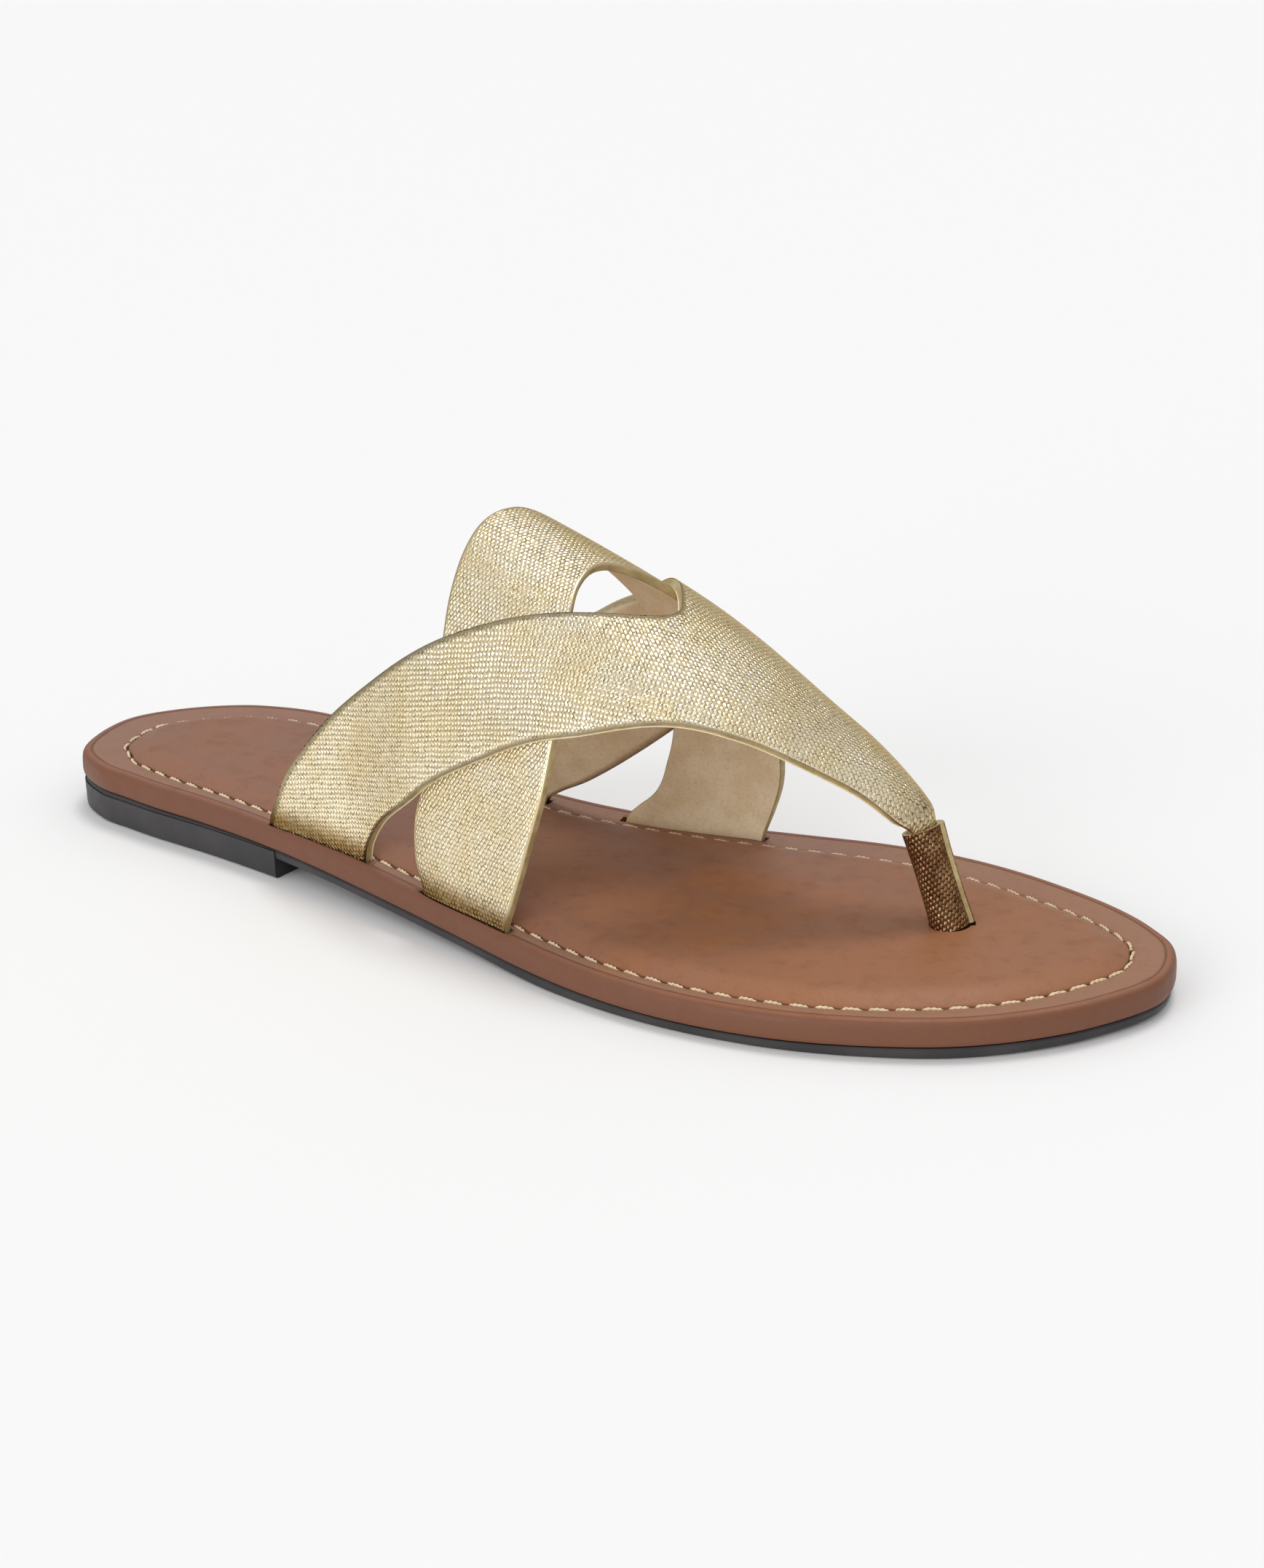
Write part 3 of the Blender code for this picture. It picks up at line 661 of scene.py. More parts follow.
# Short way to write shader nodes
class Nodes:
    def __init__(self, name):
        self.material = bpy.data.materials.new(name)
        self.material.use_nodes = True
        self.tree = self.material.node_tree
        self.shader = self.tree.nodes["Principled BSDF"]

    def feed(self, socket, value):
        if isinstance(value, bpy.types.NodeSocket):
            self.tree.links.new(value, socket)
        elif isinstance(value, (tuple, list)) and len(value) == 3 and socket.type == "RGBA":
            socket.default_value = (*value, 1.0)
        else:
            socket.default_value = value

    def math(self, how, a, b=0.0, c=0.0, clamp=False):
        node = self.tree.nodes.new("ShaderNodeMath")
        node.operation = how
        node.use_clamp = clamp
        for socket, value in zip(node.inputs, (a, b, c)):
            self.feed(socket, value)
        return node.outputs[0]

    def mm(self):
        coords = self.tree.nodes.new("ShaderNodeTexCoord")
        scale = self.tree.nodes.new("ShaderNodeVectorMath")
        scale.operation = "SCALE"
        self.feed(scale.inputs[0], coords.outputs["Object"])
        scale.inputs["Scale"].default_value = 1 / MM
        return scale.outputs[0]

    def field(self, name):
        node = self.tree.nodes.new("ShaderNodeAttribute")
        node.attribute_name = name
        return self.split(node.outputs["Vector"])

    def split(self, vector):
        node = self.tree.nodes.new("ShaderNodeSeparateXYZ")
        self.feed(node.inputs[0], vector)
        return tuple(node.outputs)

    def noise(self, vector, size, detail=3.0, roughness=0.5, stretch=(1, 1, 1)):
        place = self.tree.nodes.new("ShaderNodeMapping")
        self.feed(place.inputs["Vector"], vector)
        place.inputs["Scale"].default_value = stretch
        node = self.tree.nodes.new("ShaderNodeTexNoise")
        self.feed(node.inputs["Vector"], place.outputs[0])
        node.inputs["Scale"].default_value = 1.0 / size
        node.inputs["Detail"].default_value = detail
        node.inputs["Roughness"].default_value = roughness
        return node.outputs["Fac"]

    def cells(self, vector, size, feature="F1"):
        node = self.tree.nodes.new("ShaderNodeTexVoronoi")
        node.feature = feature
        self.feed(node.inputs["Vector"], vector)
        node.inputs["Scale"].default_value = 1.0 / size
        return node.outputs["Distance"]

    def ramp(self, value, low, high, to_low=0.0, to_high=1.0):
        node = self.tree.nodes.new("ShaderNodeMapRange")
        node.interpolation_type = "SMOOTHSTEP"
        self.feed(node.inputs["Value"], value)
        ends = {"From Min": low, "From Max": high, "To Min": to_low, "To Max": to_high}
        for socket, number in ends.items():
            self.feed(node.inputs[socket], number)
        return node.outputs["Result"]

    def mix(self, factor, a, b):
        node = self.tree.nodes.new("ShaderNodeMix")
        node.data_type = "RGBA"
        self.feed(node.inputs["Factor"], factor)
        self.feed(node.inputs[6], a)
        self.feed(node.inputs[7], b)
        return node.outputs[2]

    def bump(self, height, distance, strength=1.0, normal=None):
        node = self.tree.nodes.new("ShaderNodeBump")
        self.feed(node.inputs["Height"], height)
        node.inputs["Distance"].default_value = distance * MM
        node.inputs["Strength"].default_value = strength
        if normal is not None:
            self.feed(node.inputs["Normal"], normal)
        return node.outputs["Normal"]

    def set(self, **values):
        for name, value in values.items():
            self.feed(self.shader.inputs[name.replace("_", " ")], value)
        return self.material


# Staggered rows of small raised dashes, as a height from 0 to 1
def dashes(n, p, q, length, pitch):
    row = n.math("DIVIDE", q, pitch)
    line = n.math("FLOOR", row)
    place = n.math("ADD", n.math("DIVIDE", p, length), n.math("MULTIPLY", line, 0.5))
    s = n.math("ABSOLUTE", n.math("SUBTRACT", n.math("MULTIPLY", n.math("FRACT", place), 2.0), 1.0))
    t = n.math("ABSOLUTE", n.math("SUBTRACT", n.math("MULTIPLY", n.math("FRACT", row), 2.0), 1.0))
    ends = n.math("SUBTRACT", 1.0, n.math("POWER", s, 2.0))
    sides = n.math("SUBTRACT", 1.0, n.math("POWER", t, 3.4))
    return n.math("MULTIPLY", ends, sides)


def foil_leather():
    n = Nodes("champagne_foil")
    p, q, edge = n.field("weave")
    rise, station, angle = n.field("place")
    spot = n.mm()
    drift = n.math("MULTIPLY", n.math("SUBTRACT", n.noise(spot, 5.0, 2.0), 0.5), 1.2)
    jitter = n.math("MULTIPLY", n.math("SUBTRACT", n.noise(spot, 1.1, 2.0), 0.5), 0.35)
    row = n.math("ADD", q, n.math("ADD", drift, jitter))
    height = dashes(n, n.math("ADD", p, n.math("MULTIPLY", jitter, 2.0)), row, WEAVE_LENGTH, WEAVE_PITCH)
    uneven = n.noise(spot, 1.4, 3.0, 0.6)
    broad = n.noise(spot, 9.0, 3.0)
    inside = n.ramp(edge, 0.0, 0.7)
    border = n.ramp(edge, 0.0, 0.45, 0.55, 0.0)
    depth = n.math("MULTIPLY", n.math("MULTIPLY", height, n.ramp(uneven, 0.3, 0.7, 0.55, 1.0)), inside)
    pit = n.math("MULTIPLY", n.ramp(height, 0.06, 0.50, 1.0, 0.0), inside)
    # dark specks in random patches of the pits: painted dark reflection
    speck_shade = n.math("MULTIPLY", pit, n.ramp(uneven, 0.46, 0.60))
    # towards the toe end the specks grow darker and the foil is shaded: painted shade
    tip_shade = n.ramp(station, 72.0, 82.0)
    # foil darker within a few mm of the board, full on the lateral side and weaker on the medial side:
    # painted shade and painted reflection of the board
    low_shade = n.math("MULTIPLY", n.ramp(rise, 1.0, 6.5, 1.0, 0.0), n.ramp(angle, 90.0, 91.0, 1.0, 0.35))
    colour = n.mix(n.ramp(broad, 0.35, 0.65), FOIL_PALE, FOIL_WARM)
    # pits between the dashes darkened: painted shade in the hollows of the emboss
    colour = n.mix(n.math("MULTIPLY", pit, 0.7), colour, FOIL_SHADE_BRONZE)
    dark = n.math("ADD", 0.6, n.math("MULTIPLY", tip_shade, 0.35))
    colour = n.mix(n.math("MULTIPLY", speck_shade, dark), colour, FOIL_SPECK_SHADE)
    # foil darker towards the cut edge, in the same dark bronze
    colour = n.mix(border, colour, FOIL_SHADE_BRONZE)
    shade = n.math("MAXIMUM", n.math("MULTIPLY", low_shade, 0.95), n.math("MULTIPLY", tip_shade, 0.35))
    colour = n.mix(n.math("MULTIPLY", shade, n.ramp(uneven, 0.3, 0.6, 0.85, 1.0)), colour, FOIL_LOW_SHADE)
    rough = n.math("ADD", n.ramp(broad, 0.3, 0.7, 0.22, 0.28), n.math("MULTIPLY", pit, 0.15))
    normal = n.bump(n.noise(spot, 14.0, 2.0), 0.6, 0.4)
    normal = n.bump(depth, 0.15, 1.0, normal)
    return n.set(Base_Color=colour, Metallic=0.97, Roughness=rough, Normal=normal, Specular_Tint=FOIL_GRAZE)


def edge_paint():
    n = Nodes("cream_edge_paint")
    spot = n.mm()
    colour = n.mix(n.ramp(n.noise(spot, 3.0, 3.0), 0.35, 0.7), EDGE_PALE, EDGE_DARK)
    normal = n.bump(n.noise(spot, 0.7, 3.0), 0.06, 0.5)
    return n.set(Base_Color=colour, Metallic=0.35, Roughness=0.42, Normal=normal)


def lining_leather():
    n = Nodes("beige_lining")
    spot = n.mm()
    crinkle = n.cells(spot, 0.9, "SMOOTH_F1")
    fine = n.noise(spot, 0.5, 3.0)
    colour = n.mix(n.ramp(n.noise(spot, 6.0, 3.0), 0.35, 0.65), LINING_PALE, LINING_DARK)
    colour = n.mix(n.ramp(fine, 0.5, 0.72, 0.0, 0.22), colour, LINING_PIT)
    normal = n.bump(n.math("ADD", crinkle, n.math("MULTIPLY", fine, 0.6)), 0.12, 0.5)
    return n.set(Base_Color=colour, Metallic=0.15, Roughness=0.5, Normal=normal)


def footbed_leather(name, rim):
    n = Nodes(name)
    spot = n.mm()
    x = n.split(spot)[0]
    inset, gap = n.field("sole")[:2]
    cloud = n.noise(spot, 26.0, 4.0)
    mottle = n.noise(spot, 4.5, 4.0, 0.6)
    fine = n.noise(spot, 0.8, 3.0, 0.6)
    pebble = n.cells(spot, 0.75)
    colour = n.mix(n.ramp(cloud, 0.35, 0.68), BROWN_MAIN, BROWN_RED)
    toe_end = n.ramp(n.math("ADD", x, n.math("MULTIPLY", cloud, 40.0)), 45.0, 105.0)
    # random orange patches from the waist forward: painted warm gloss highlights
    warm_highlight_patches = n.ramp(n.noise(spot, 17.0, 3.0), 0.45, 0.65, 0.0, 0.55)
    patch = n.math("MULTIPLY", n.ramp(x, 5.0, 35.0), warm_highlight_patches)
    colour = n.mix(n.math("MAXIMUM", n.math("MULTIPLY", toe_end, 0.55), patch), colour, BROWN_ORANGE)
    colour = n.mix(n.ramp(mottle, 0.5, 0.75, 0.0, 0.22), colour, BROWN_DARK)
    if rim:
        strip = n.math("MULTIPLY", n.ramp(inset, 2.0, 3.0), n.ramp(gap, 0.8, 1.3))
        colour = n.mix(n.math("MULTIPLY", strip, 0.35), colour, BROWN_STRIP)
        # side face of the board darkened: painted shade on the face turned away from the overhead light
        side = n.ramp(inset, 0.2, 1.4, 0.75, 0.0)
        colour = n.mix(side, colour, BROWN_DARK)
        rolled = n.ramp(inset, 1.2, 2.2, 1.0, 0.0)
        colour = n.mix(n.math("MULTIPLY", rolled, 0.35), colour, BROWN_EDGE)
        # dark line in the dip of the soft fold: painted shade in the crease
        crease_shade = n.math("MULTIPLY", n.ramp(inset, 1.7, 2.1), n.ramp(inset, 2.2, 2.6, 1.0, 0.0))
        colour = n.mix(n.math("MULTIPLY", crease_shade, 0.7), colour, BROWN_DARK)
    colour = n.mix(n.ramp(fine, 0.5, 0.8, 0.0, 0.18), colour, BROWN_DARK)
    rough = n.ramp(mottle, 0.3, 0.7, 0.46, 0.56)
    grain = n.math("ADD", pebble, n.math("MULTIPLY", fine, 0.8))
    normal = n.bump(n.noise(spot, 11.0, 3.0), 0.5, 0.25)
    normal = n.bump(grain, 0.05, 0.5, normal)
    return n.set(Base_Color=colour, Roughness=rough, Normal=normal, Specular_IOR_Level=0.3)


def sole_rubber():
    n = Nodes("charcoal_rubber")
    spot = n.mm()
    colour = n.mix(n.ramp(n.noise(spot, 12.0, 4.0), 0.3, 0.7), RUBBER_DARK, RUBBER_PALE)
    normal = n.bump(n.noise(spot, 0.6, 3.0, 0.7), 0.05, 0.6)
    rough = n.ramp(n.noise(spot, 3.0, 3.0), 0.3, 0.7, 0.5, 0.66)
    return n.set(Base_Color=colour, Roughness=rough, Normal=normal)


def thread():
    n = Nodes("cream_thread")
    spot = n.mm()
    colour = n.mix(n.ramp(n.noise(spot, 0.6, 3.0), 0.35, 0.7), THREAD_PALE, THREAD_DARK)
    normal = n.bump(n.noise(spot, 0.18, 2.0), 0.03, 0.6)
    return n.set(Base_Color=colour, Roughness=0.7, Normal=normal, Sheen_Weight=0.2)


def needle_hole_shade():
    n = Nodes("needle_hole_shade")
    spot = n.mm()
    # near black: painted shade inside the needle holes
    colour = n.mix(n.noise(spot, 0.5, 2.0), HOLE_SHADE, BROWN_DARK)
    return n.set(Base_Color=colour, Roughness=0.8)


def sleeve_weave():
    n = Nodes("old_gold_weave")
    p, q = n.field("weave")[:2]
    spot = n.mm()
    shift = n.math("MULTIPLY", n.math("SUBTRACT", n.noise(spot, 1.2, 2.0), 0.5), 0.5)
    height = dashes(n, n.math("ADD", p, shift), n.math("ADD", q, shift),
                    SLEEVE_WEAVE_LENGTH, SLEEVE_WEAVE_PITCH)
    uneven = n.noise(spot, 0.9, 2.0)
    colour = n.mix(n.ramp(n.noise(spot, 3.5, 3.0), 0.35, 0.65), SLEEVE_GOLD, SLEEVE_BRONZE)
    pit = n.ramp(height, 0.05, 0.45, 1.0, 0.0)
    # pits between the dashes darkened: painted shade in the hollows of the weave
    colour = n.mix(n.math("MULTIPLY", pit, 0.85), colour, SLEEVE_PIT_SHADE)
    # darker also in random patches, in the same colour
    colour = n.mix(n.ramp(uneven, 0.52, 0.66, 0.0, 0.6), colour, SLEEVE_PIT_SHADE)
    normal = n.bump(n.math("ADD", height, n.math("MULTIPLY", uneven, 0.7)), 0.26, 1.0)
    rough = n.ramp(uneven, 0.3, 0.7, 0.20, 0.42)
    return n.set(Base_Color=colour, Metallic=0.9, Roughness=rough, Normal=normal, Specular_Tint=FOIL_GRAZE)


FOIL = foil_leather()
EDGE = edge_paint()
LINING = lining_leather()
RIM_LEATHER = footbed_leather("brown_rim_leather", True)
PAD_LEATHER = footbed_leather("brown_pad_leather", False)
RUBBER = sole_rubber()
THREAD = thread()
HOLE = needle_hole_shade()
WEAVE = sleeve_weave()


def pad_margin(loop):
    margin = smooth_rows(PAD_MARGIN, (loop[:, 0] - HEEL_END_X) / SOLE_LENGTH)
    lateral = np.arange(len(loop)) <= SOLE_STATIONS
    return np.where(lateral, margin[:, 0], margin[:, 1])


OUTER = outline_loop()
MARGIN = pad_margin(OUTER)


# Inset loop with its points evened out where it would fold back over itself
def unfolded(loop):
    loop = loop.copy()
    along = np.roll(OUTER, -1, axis=0) - OUTER
    least = FOLD_LIMIT * (along ** 2).sum(axis=1)
    for _ in range(FOLD_ROUNDS):
        step = np.roll(loop, -1, axis=0) - loop
        folded = (step * along).sum(axis=1) < least
        if not folded.any():
            break
        near = np.any([np.roll(folded, k) for k in range(*FOLD_REACH)], axis=0)
        middle = (np.roll(loop, 1, axis=0) + np.roll(loop, -1, axis=0)) / 2
        loop[near] = middle[near]
    return loop


def board_ring(inset, height):
    loop = unfolded(loop_inset(OUTER, inset))
    return np.c_[loop, level(BOARD_LEVEL, loop[:, 0]) + height]


# Inset from the outline, distance outside the pad edge
def ring_field(insets):
    rows = []
    for inset in insets:
        inset = np.broadcast_to(inset, len(OUTER))
        rows.append(np.c_[inset, MARGIN - inset, np.zeros(len(OUTER))])
    return np.vstack(rows)


# Strap end slots, cut into the board as in the solids
def slot_tools():
    tools = []
    for name, rear, front, side in SLOTS:
        stations = np.linspace(rear - SLOT_END_GAP, front + SLOT_END_GAP, SLOT_POINTS)
        base = form_at(stations, np.full(SLOT_POINTS, side))
        out = form_normal(stations, np.full(SLOT_POINTS, side))
        out[:, 2] = 0.0
        out /= np.linalg.norm(out, axis=-1, keepdims=True)
        outer = np.vstack([base + out * FIT + (0.0, 0.0, drop) for drop in SLOT_DROPS])
        inner = np.vstack([base - out * (STRAP_THICKNESS + FIT) + (0.0, 0.0, drop) for drop in SLOT_DROPS])
        verts, faces = closed_sheet(outer, inner, grid_faces(len(SLOT_DROPS), SLOT_POINTS))
        tool = make_object(name, verts, faces, [RIM_LEATHER])
        facing_out(tool)
        tools.append(tool)
    return tools


def facing_out(obj):
    bm = bmesh.new()
    bm.from_mesh(obj.data)
    bmesh.ops.recalc_face_normals(bm, faces=bm.faces)
    bm.to_mesh(obj.data)
    bm.free()


# Edges that only one face has, in the direction of that face
def open_edges(faces):
    edges = {(f[i], f[(i + 1) % len(f)]) for f in faces for i in range(len(f))}
    return sorted((a, b) for a, b in edges if (b, a) not in edges)


def closed_sheet(outer, inner, faces):
    count = len(outer)
    verts = [tuple(p) for p in outer] + [tuple(p) for p in inner]
    solid = [list(f) for f in faces] + [[i + count for i in reversed(f)] for f in faces]
    solid += [[b, a, a + count, b + count] for a, b in open_edges(faces)]
    return verts, solid


def board():
    profile = list(BOARD_PROFILE) + [(MARGIN - gap, height) for gap, height in SEAM_PROFILE]
    rings = [board_ring(inset, height) for inset, height in profile]
    verts, faces = ring_solid(rings)
    field = ring_field([inset for inset, height in profile])
    obj = make_object("footbed_board", verts, faces, [RIM_LEATHER], fields={"sole": field})
    facing_out(obj)
    tools = slot_tools()
    for tool in tools:
        combine(obj, tool, "DIFFERENCE")
    apply_modifiers(obj, tools)
    obj.data.set_sharp_from_angle(angle=math.radians(SHARP_ANGLES["board"]))
    return settle(obj, "midsole", "midsole")


def pad():
    profile = [(MARGIN + inset, BOARD_THICKNESS + height) for inset, height in PAD_PROFILE]
    rings = [board_ring(inset, height) for inset, height in profile]
    verts, faces = ring_solid(rings)
    field = ring_field([inset for inset, height in profile])
    obj = make_object("footbed_pad", verts, faces, [PAD_LEATHER], fields={"sole": field})
    facing_out(obj)
    hole = []
    for share in POST_HOLE_SPAN:
        hole.append(sleeve_ring(share, SLEEVE_HALF_WIDTH + POST_HOLE_FIT,
                                SLEEVE_HALF_DEPTH + POST_HOLE_FIT, LAP_HEIGHT))
    faces = ring_faces(0, len(hole), SLEEVE_SIDES) + end_faces(0, len(hole), SLEEVE_SIDES)
    tool = make_object("post_hole", np.vstack(hole), faces, [PAD_LEATHER])
    facing_out(tool)
    combine(obj, tool, "DIFFERENCE")
    apply_modifiers(obj, [tool])
    obj.data.set_sharp_from_angle(angle=math.radians(SHARP_ANGLES["pad"]))
    return settle(obj, "insole_pad", "insole_pad")


# Thin outsole with the heel block joined to it
def outsole():
    rings = []
    for inset, rise in OUTSOLE_EDGE:
        loop = loop_inset(OUTER, OUTSOLE_INSET + inset)
        rings.append(np.c_[loop, tread(loop[:, 0]) + rise])
    inset, drop = OUTSOLE_TOP_ROUND
    top = loop_inset(OUTER, OUTSOLE_INSET)
    rings.append(np.c_[top, level(BOARD_LEVEL, top[:, 0]) - FIT - drop])
    top = loop_inset(OUTER, OUTSOLE_INSET + inset)
    rings.append(np.c_[top, level(BOARD_LEVEL, top[:, 0]) - FIT])
    obj = make_object("rubber_sole", *ring_solid(rings), [RUBBER])
    facing_out(obj)
    rings = [heel_loop(HEEL_INSET + inset, height) for inset, height in HEEL_EDGE]
    count = min(len(r) for r in rings)
    verts = [p for ring in rings for p in ring[:count]]
    faces = end_faces(0, len(rings), count) + ring_faces(0, len(rings), count)
    heel = make_object("heel_form", verts, faces, [RUBBER])
    facing_out(heel)
    combine(obj, heel, "UNION")
    apply_modifiers(obj, [heel])
    obj.data.set_sharp_from_angle(angle=math.radians(SHARP_ANGLES["outsole"]))
    return settle(obj, "outsole", "outsole")


def heel_loop(inset, height):
    loop = loop_inset(OUTER, inset)
    order = [loop[i] for i in range(-SOLE_STATIONS, SOLE_STATIONS)]
    points = []
    for a, b in zip(order[:-1], order[1:]):
        inside_a = a[0] < HEEL_BREAST_X
        inside_b = b[0] < HEEL_BREAST_X
        if inside_a:
            points.append((a[0], a[1]))
        if inside_a != inside_b:
            t = (HEEL_BREAST_X - a[0]) / (b[0] - a[0])
            points.append((HEEL_BREAST_X, a[1] + t * (b[1] - a[1])))
    return [(p[0], p[1], height) for p in points]


# Closed sheet with a rounded border: outer face foil, border paint, inner face lining
def strap_object(name, outer, inner, faces, weave, spots):
    count = len(outer)
    outer = outer.copy()
    inner = inner.copy()
    normal = outer - inner
    thick = np.linalg.norm(normal, axis=1, keepdims=True)
    normal /= thick
    ahead = dict(open_edges(faces))
    back = {b: a for a, b in ahead.items()}
    border = sorted(ahead)
    place = {v: i for i, v in enumerate(border)}
    tree = KDTree(len(border))
    for i, v in enumerate(border):
        tree.insert(outer[v], i)
    tree.balance()
    nearest = [tree.find(p) for p in outer]
    tangent = np.array([outer[ahead[v]] - outer[back[v]] for v in border])
    tangent /= np.linalg.norm(tangent, axis=1, keepdims=True)
    up = normal[border]
    out = np.cross(tangent, up)
    out /= np.linalg.norm(out, axis=1, keepdims=True)
    rim_outer = outer[border]
    rim_inner = inner[border]
    rings = []
    for k in range(1, EDGE_STEPS + 1):
        turn = math.pi / 2 * k / EDGE_STEPS
        centre = rim_outer - (out + up) * EDGE_RADIUS
        rings.append(centre + (out * math.sin(turn) + up * math.cos(turn)) * EDGE_RADIUS)
    for k in range(EDGE_STEPS):
        turn = math.pi / 2 * k / EDGE_STEPS
        centre = rim_inner - (out - up) * EDGE_RADIUS
        rings.append(centre + (out * math.cos(turn) - up * math.sin(turn)) * EDGE_RADIUS)
    pull = EDGE_RADIUS * np.clip([1 - hit[2] / EDGE_FADE for hit in nearest], 0, 1)
    shift = out[[hit[1] for hit in nearest]] * pull[:, None]
    outer -= shift
    inner -= shift
    verts = np.vstack([outer, inner] + rings)
    marks = np.vstack([weave, weave] + [weave[border]] * len(rings))
    spots = np.vstack([spots, spots] + [spots[border]] * len(rings))
    solid = [list(f) for f in faces]
    kinds = [OUTER_SLOT] * len(faces)
    solid += [[i + count for i in reversed(f)] for f in faces]
    kinds += [INNER_SLOT] * len(faces)
    width = len(border)

    def at(v, ring):
        if ring == 0:
            return v
        if ring == len(rings) + 1:
            return v + count
        return 2 * count + (ring - 1) * width + place[v]

    for a in border:
        b = ahead[a]
        for ring in range(len(rings) + 1):
            solid.append([at(b, ring), at(a, ring), at(a, ring + 1), at(b, ring + 1)])
            lined = ring > len(rings) - LINING_WRAP
            kinds.append(OUTER_SLOT if ring < FOIL_WRAP else (INNER_SLOT if lined else EDGE_SLOT))
    fields = {"weave": marks, "place": spots}
    obj = make_object(name, verts, solid, [FOIL, EDGE, LINING], kinds, fields)
    facing_out(obj)
    return obj


# Distance along the crest and around the form, turned to the direction of the emboss
def weave_marks(station, angle, turn):
    table = np.linspace(*WEAVE_ANGLES)
    keys = np.linspace(*WEAVE_STATIONS)
    grid = form_at(keys[:, None], table[None, :])
    steps = np.linalg.norm(np.diff(grid, axis=1), axis=-1)
    around = np.concatenate([np.zeros((len(keys), 1)), np.cumsum(steps, axis=1)], axis=1)
    around -= around[:, CREST_COLUMN:CREST_COLUMN + 1]
    crest = form_at(keys, np.full(len(keys), 90.0))
    along = np.r_[0.0, np.cumsum(np.linalg.norm(np.diff(crest, axis=0), axis=1))]
    s = (np.clip(station, keys[0], keys[-1]) - keys[0]) / (keys[1] - keys[0])
    i = np.clip(s.astype(int), 0, len(keys) - 2)
    fs = s - i
    a = (np.clip(angle, table[0], table[-1]) - table[0]) / (table[1] - table[0])
    j = np.clip(a.astype(int), 0, len(table) - 2)
    fa = a - j
    low = around[i, j] * (1 - fa) + around[i, j + 1] * fa
    high = around[i + 1, j] * (1 - fa) + around[i + 1, j + 1] * fa
    v = low * (1 - fs) + high * fs
    u = np.interp(station, keys, along)
    c = math.cos(turn)
    s = math.sin(turn)
    return u * c + v * s, -u * s + v * c


# Height above the board, station and angle of each point
def place_marks(points, station, angle):
    rise = points[:, 2] - level(BOARD_LEVEL, points[:, 0]) - BOARD_THICKNESS
    return np.c_[rise, np.ravel(station), np.ravel(angle)]


def edge_distance(points, faces):
    border = [edge[0] for edge in open_edges(faces)]
    tree = KDTree(len(border))
    for i in border:
        tree.insert(points[i], i)
    tree.balance()
    return np.array([tree.find(p)[2] for p in points])


def band():
    t = np.linspace(0, 1, BAND_STEPS + 1)
    angle = BAND[0][0] + (BAND[-1][0] - BAND[0][0]) * t
    edges = smooth_rows(BAND, angle)
    across = np.linspace(0, 1, BAND_ACROSS + 1)
    station = edges[:, :1] + (edges[:, 1:2] - edges[:, :1]) * across[None, :]
    angle = np.repeat(angle[:, None], BAND_ACROSS + 1, axis=1)
    base = form_at(station, angle).reshape(-1, 3)
    out = form_normal(station, angle).reshape(-1, 3)
    faces = grid_faces(BAND_STEPS + 1, BAND_ACROSS + 1)
    p, q = weave_marks(station, angle, math.radians(BAND_TURN))
    depth = edge_distance(base, faces)
    marks = np.c_[p.ravel(), q.ravel(), depth]
    spots = place_marks(base, station, angle)
    obj = strap_object("cross_band", base, base - out * STRAP_THICKNESS, faces, marks, spots)
    return settle(obj, "upper", "upper")


def fork():
    outer, inner, marks, spots, faces = [], [], [], [], []
    for rows, span, flip in ((LATERAL, LATERAL_LIFT, False), (MEDIAL, MEDIAL_LIFT, True)):
        station, angle = half_grid(rows, FORK_STEPS, FORK_ACROSS)
        base = form_at(station, angle)
        out = form_normal(station, angle)
        rise = ease(np.minimum(angle, 180 - angle) / LIFT_ANGLE)
        lift = (strap_lift(station, span) * rise)[..., None]
        start = len(outer)
        outer += list((base + out * lift).reshape(-1, 3))
        inner += list((base + out * (lift - STRAP_THICKNESS)).reshape(-1, 3))
        p, q = weave_marks(station, angle, math.radians(FORK_TURN))
        marks += list(np.stack([p, q], axis=-1).reshape(-1, 2))
        spots += list(place_marks(base.reshape(-1, 3), station, angle))
        grid = grid_faces(FORK_STEPS + 1, FORK_ACROSS + 1, start)
        faces += [f[::-1] for f in grid] if flip else grid
    weld, index, kept = {}, [], []
    for i, p in enumerate(outer):
        key = tuple(np.round(p, WELD_DIGITS))
        if key not in weld:
            weld[key] = len(kept)
            kept.append(i)
        index.append(weld[key])
    outer = np.array(outer)[kept]
    inner = np.array(inner)[kept]
    marks = np.array(marks)[kept]
    spots = np.array(spots)[kept]
    faces = [[index[i] for i in f] for f in faces]
    faces = [f for f in faces if len(set(f)) == len(f)]
    depth = edge_distance(outer, faces)
    obj = strap_object("forked_strap", outer, inner, faces, np.c_[marks, depth], spots)
    return settle(obj, "upper", "upper")


def sleeve_axis(share):
    foot_z = float(level(BOARD_LEVEL, SLEEVE_FOOT[0])) + BOARD_THICKNESS + PAD_PROFILE[-1][1]
    foot_point = np.array([SLEEVE_FOOT[0], SLEEVE_FOOT[1], foot_z])
    head_point = np.array(SLEEVE_HEAD)
    return foot_point + (head_point - foot_point) * share, head_point - foot_point


def sleeve_frame():
    axis = sleeve_axis(0.0)[1]
    length = np.linalg.norm(axis)
    axis = axis / length
    front = np.cross(np.array([0.0, 1.0, 0.0]), axis)
    front /= np.linalg.norm(front)
    return axis, front, np.cross(axis, front), length


def sleeve_ring(share, half_width, half_depth, lap=0.0):
    front, side = sleeve_frame()[1:3]
    centre = sleeve_axis(share)[0]
    ring = []
    for k in range(SLEEVE_SIDES):
        turn = 2 * math.pi * k / SLEEVE_SIDES
        behind = (turn - LAP_START) % (2 * math.pi)
        grow = lap * (1 - ease(behind / LAP_SPAN))
        wide = (half_width + grow) * math.sin(turn)
        deep = (half_depth + grow) * math.cos(turn)
        ring.append(centre + front * deep + side * wide)
    return ring


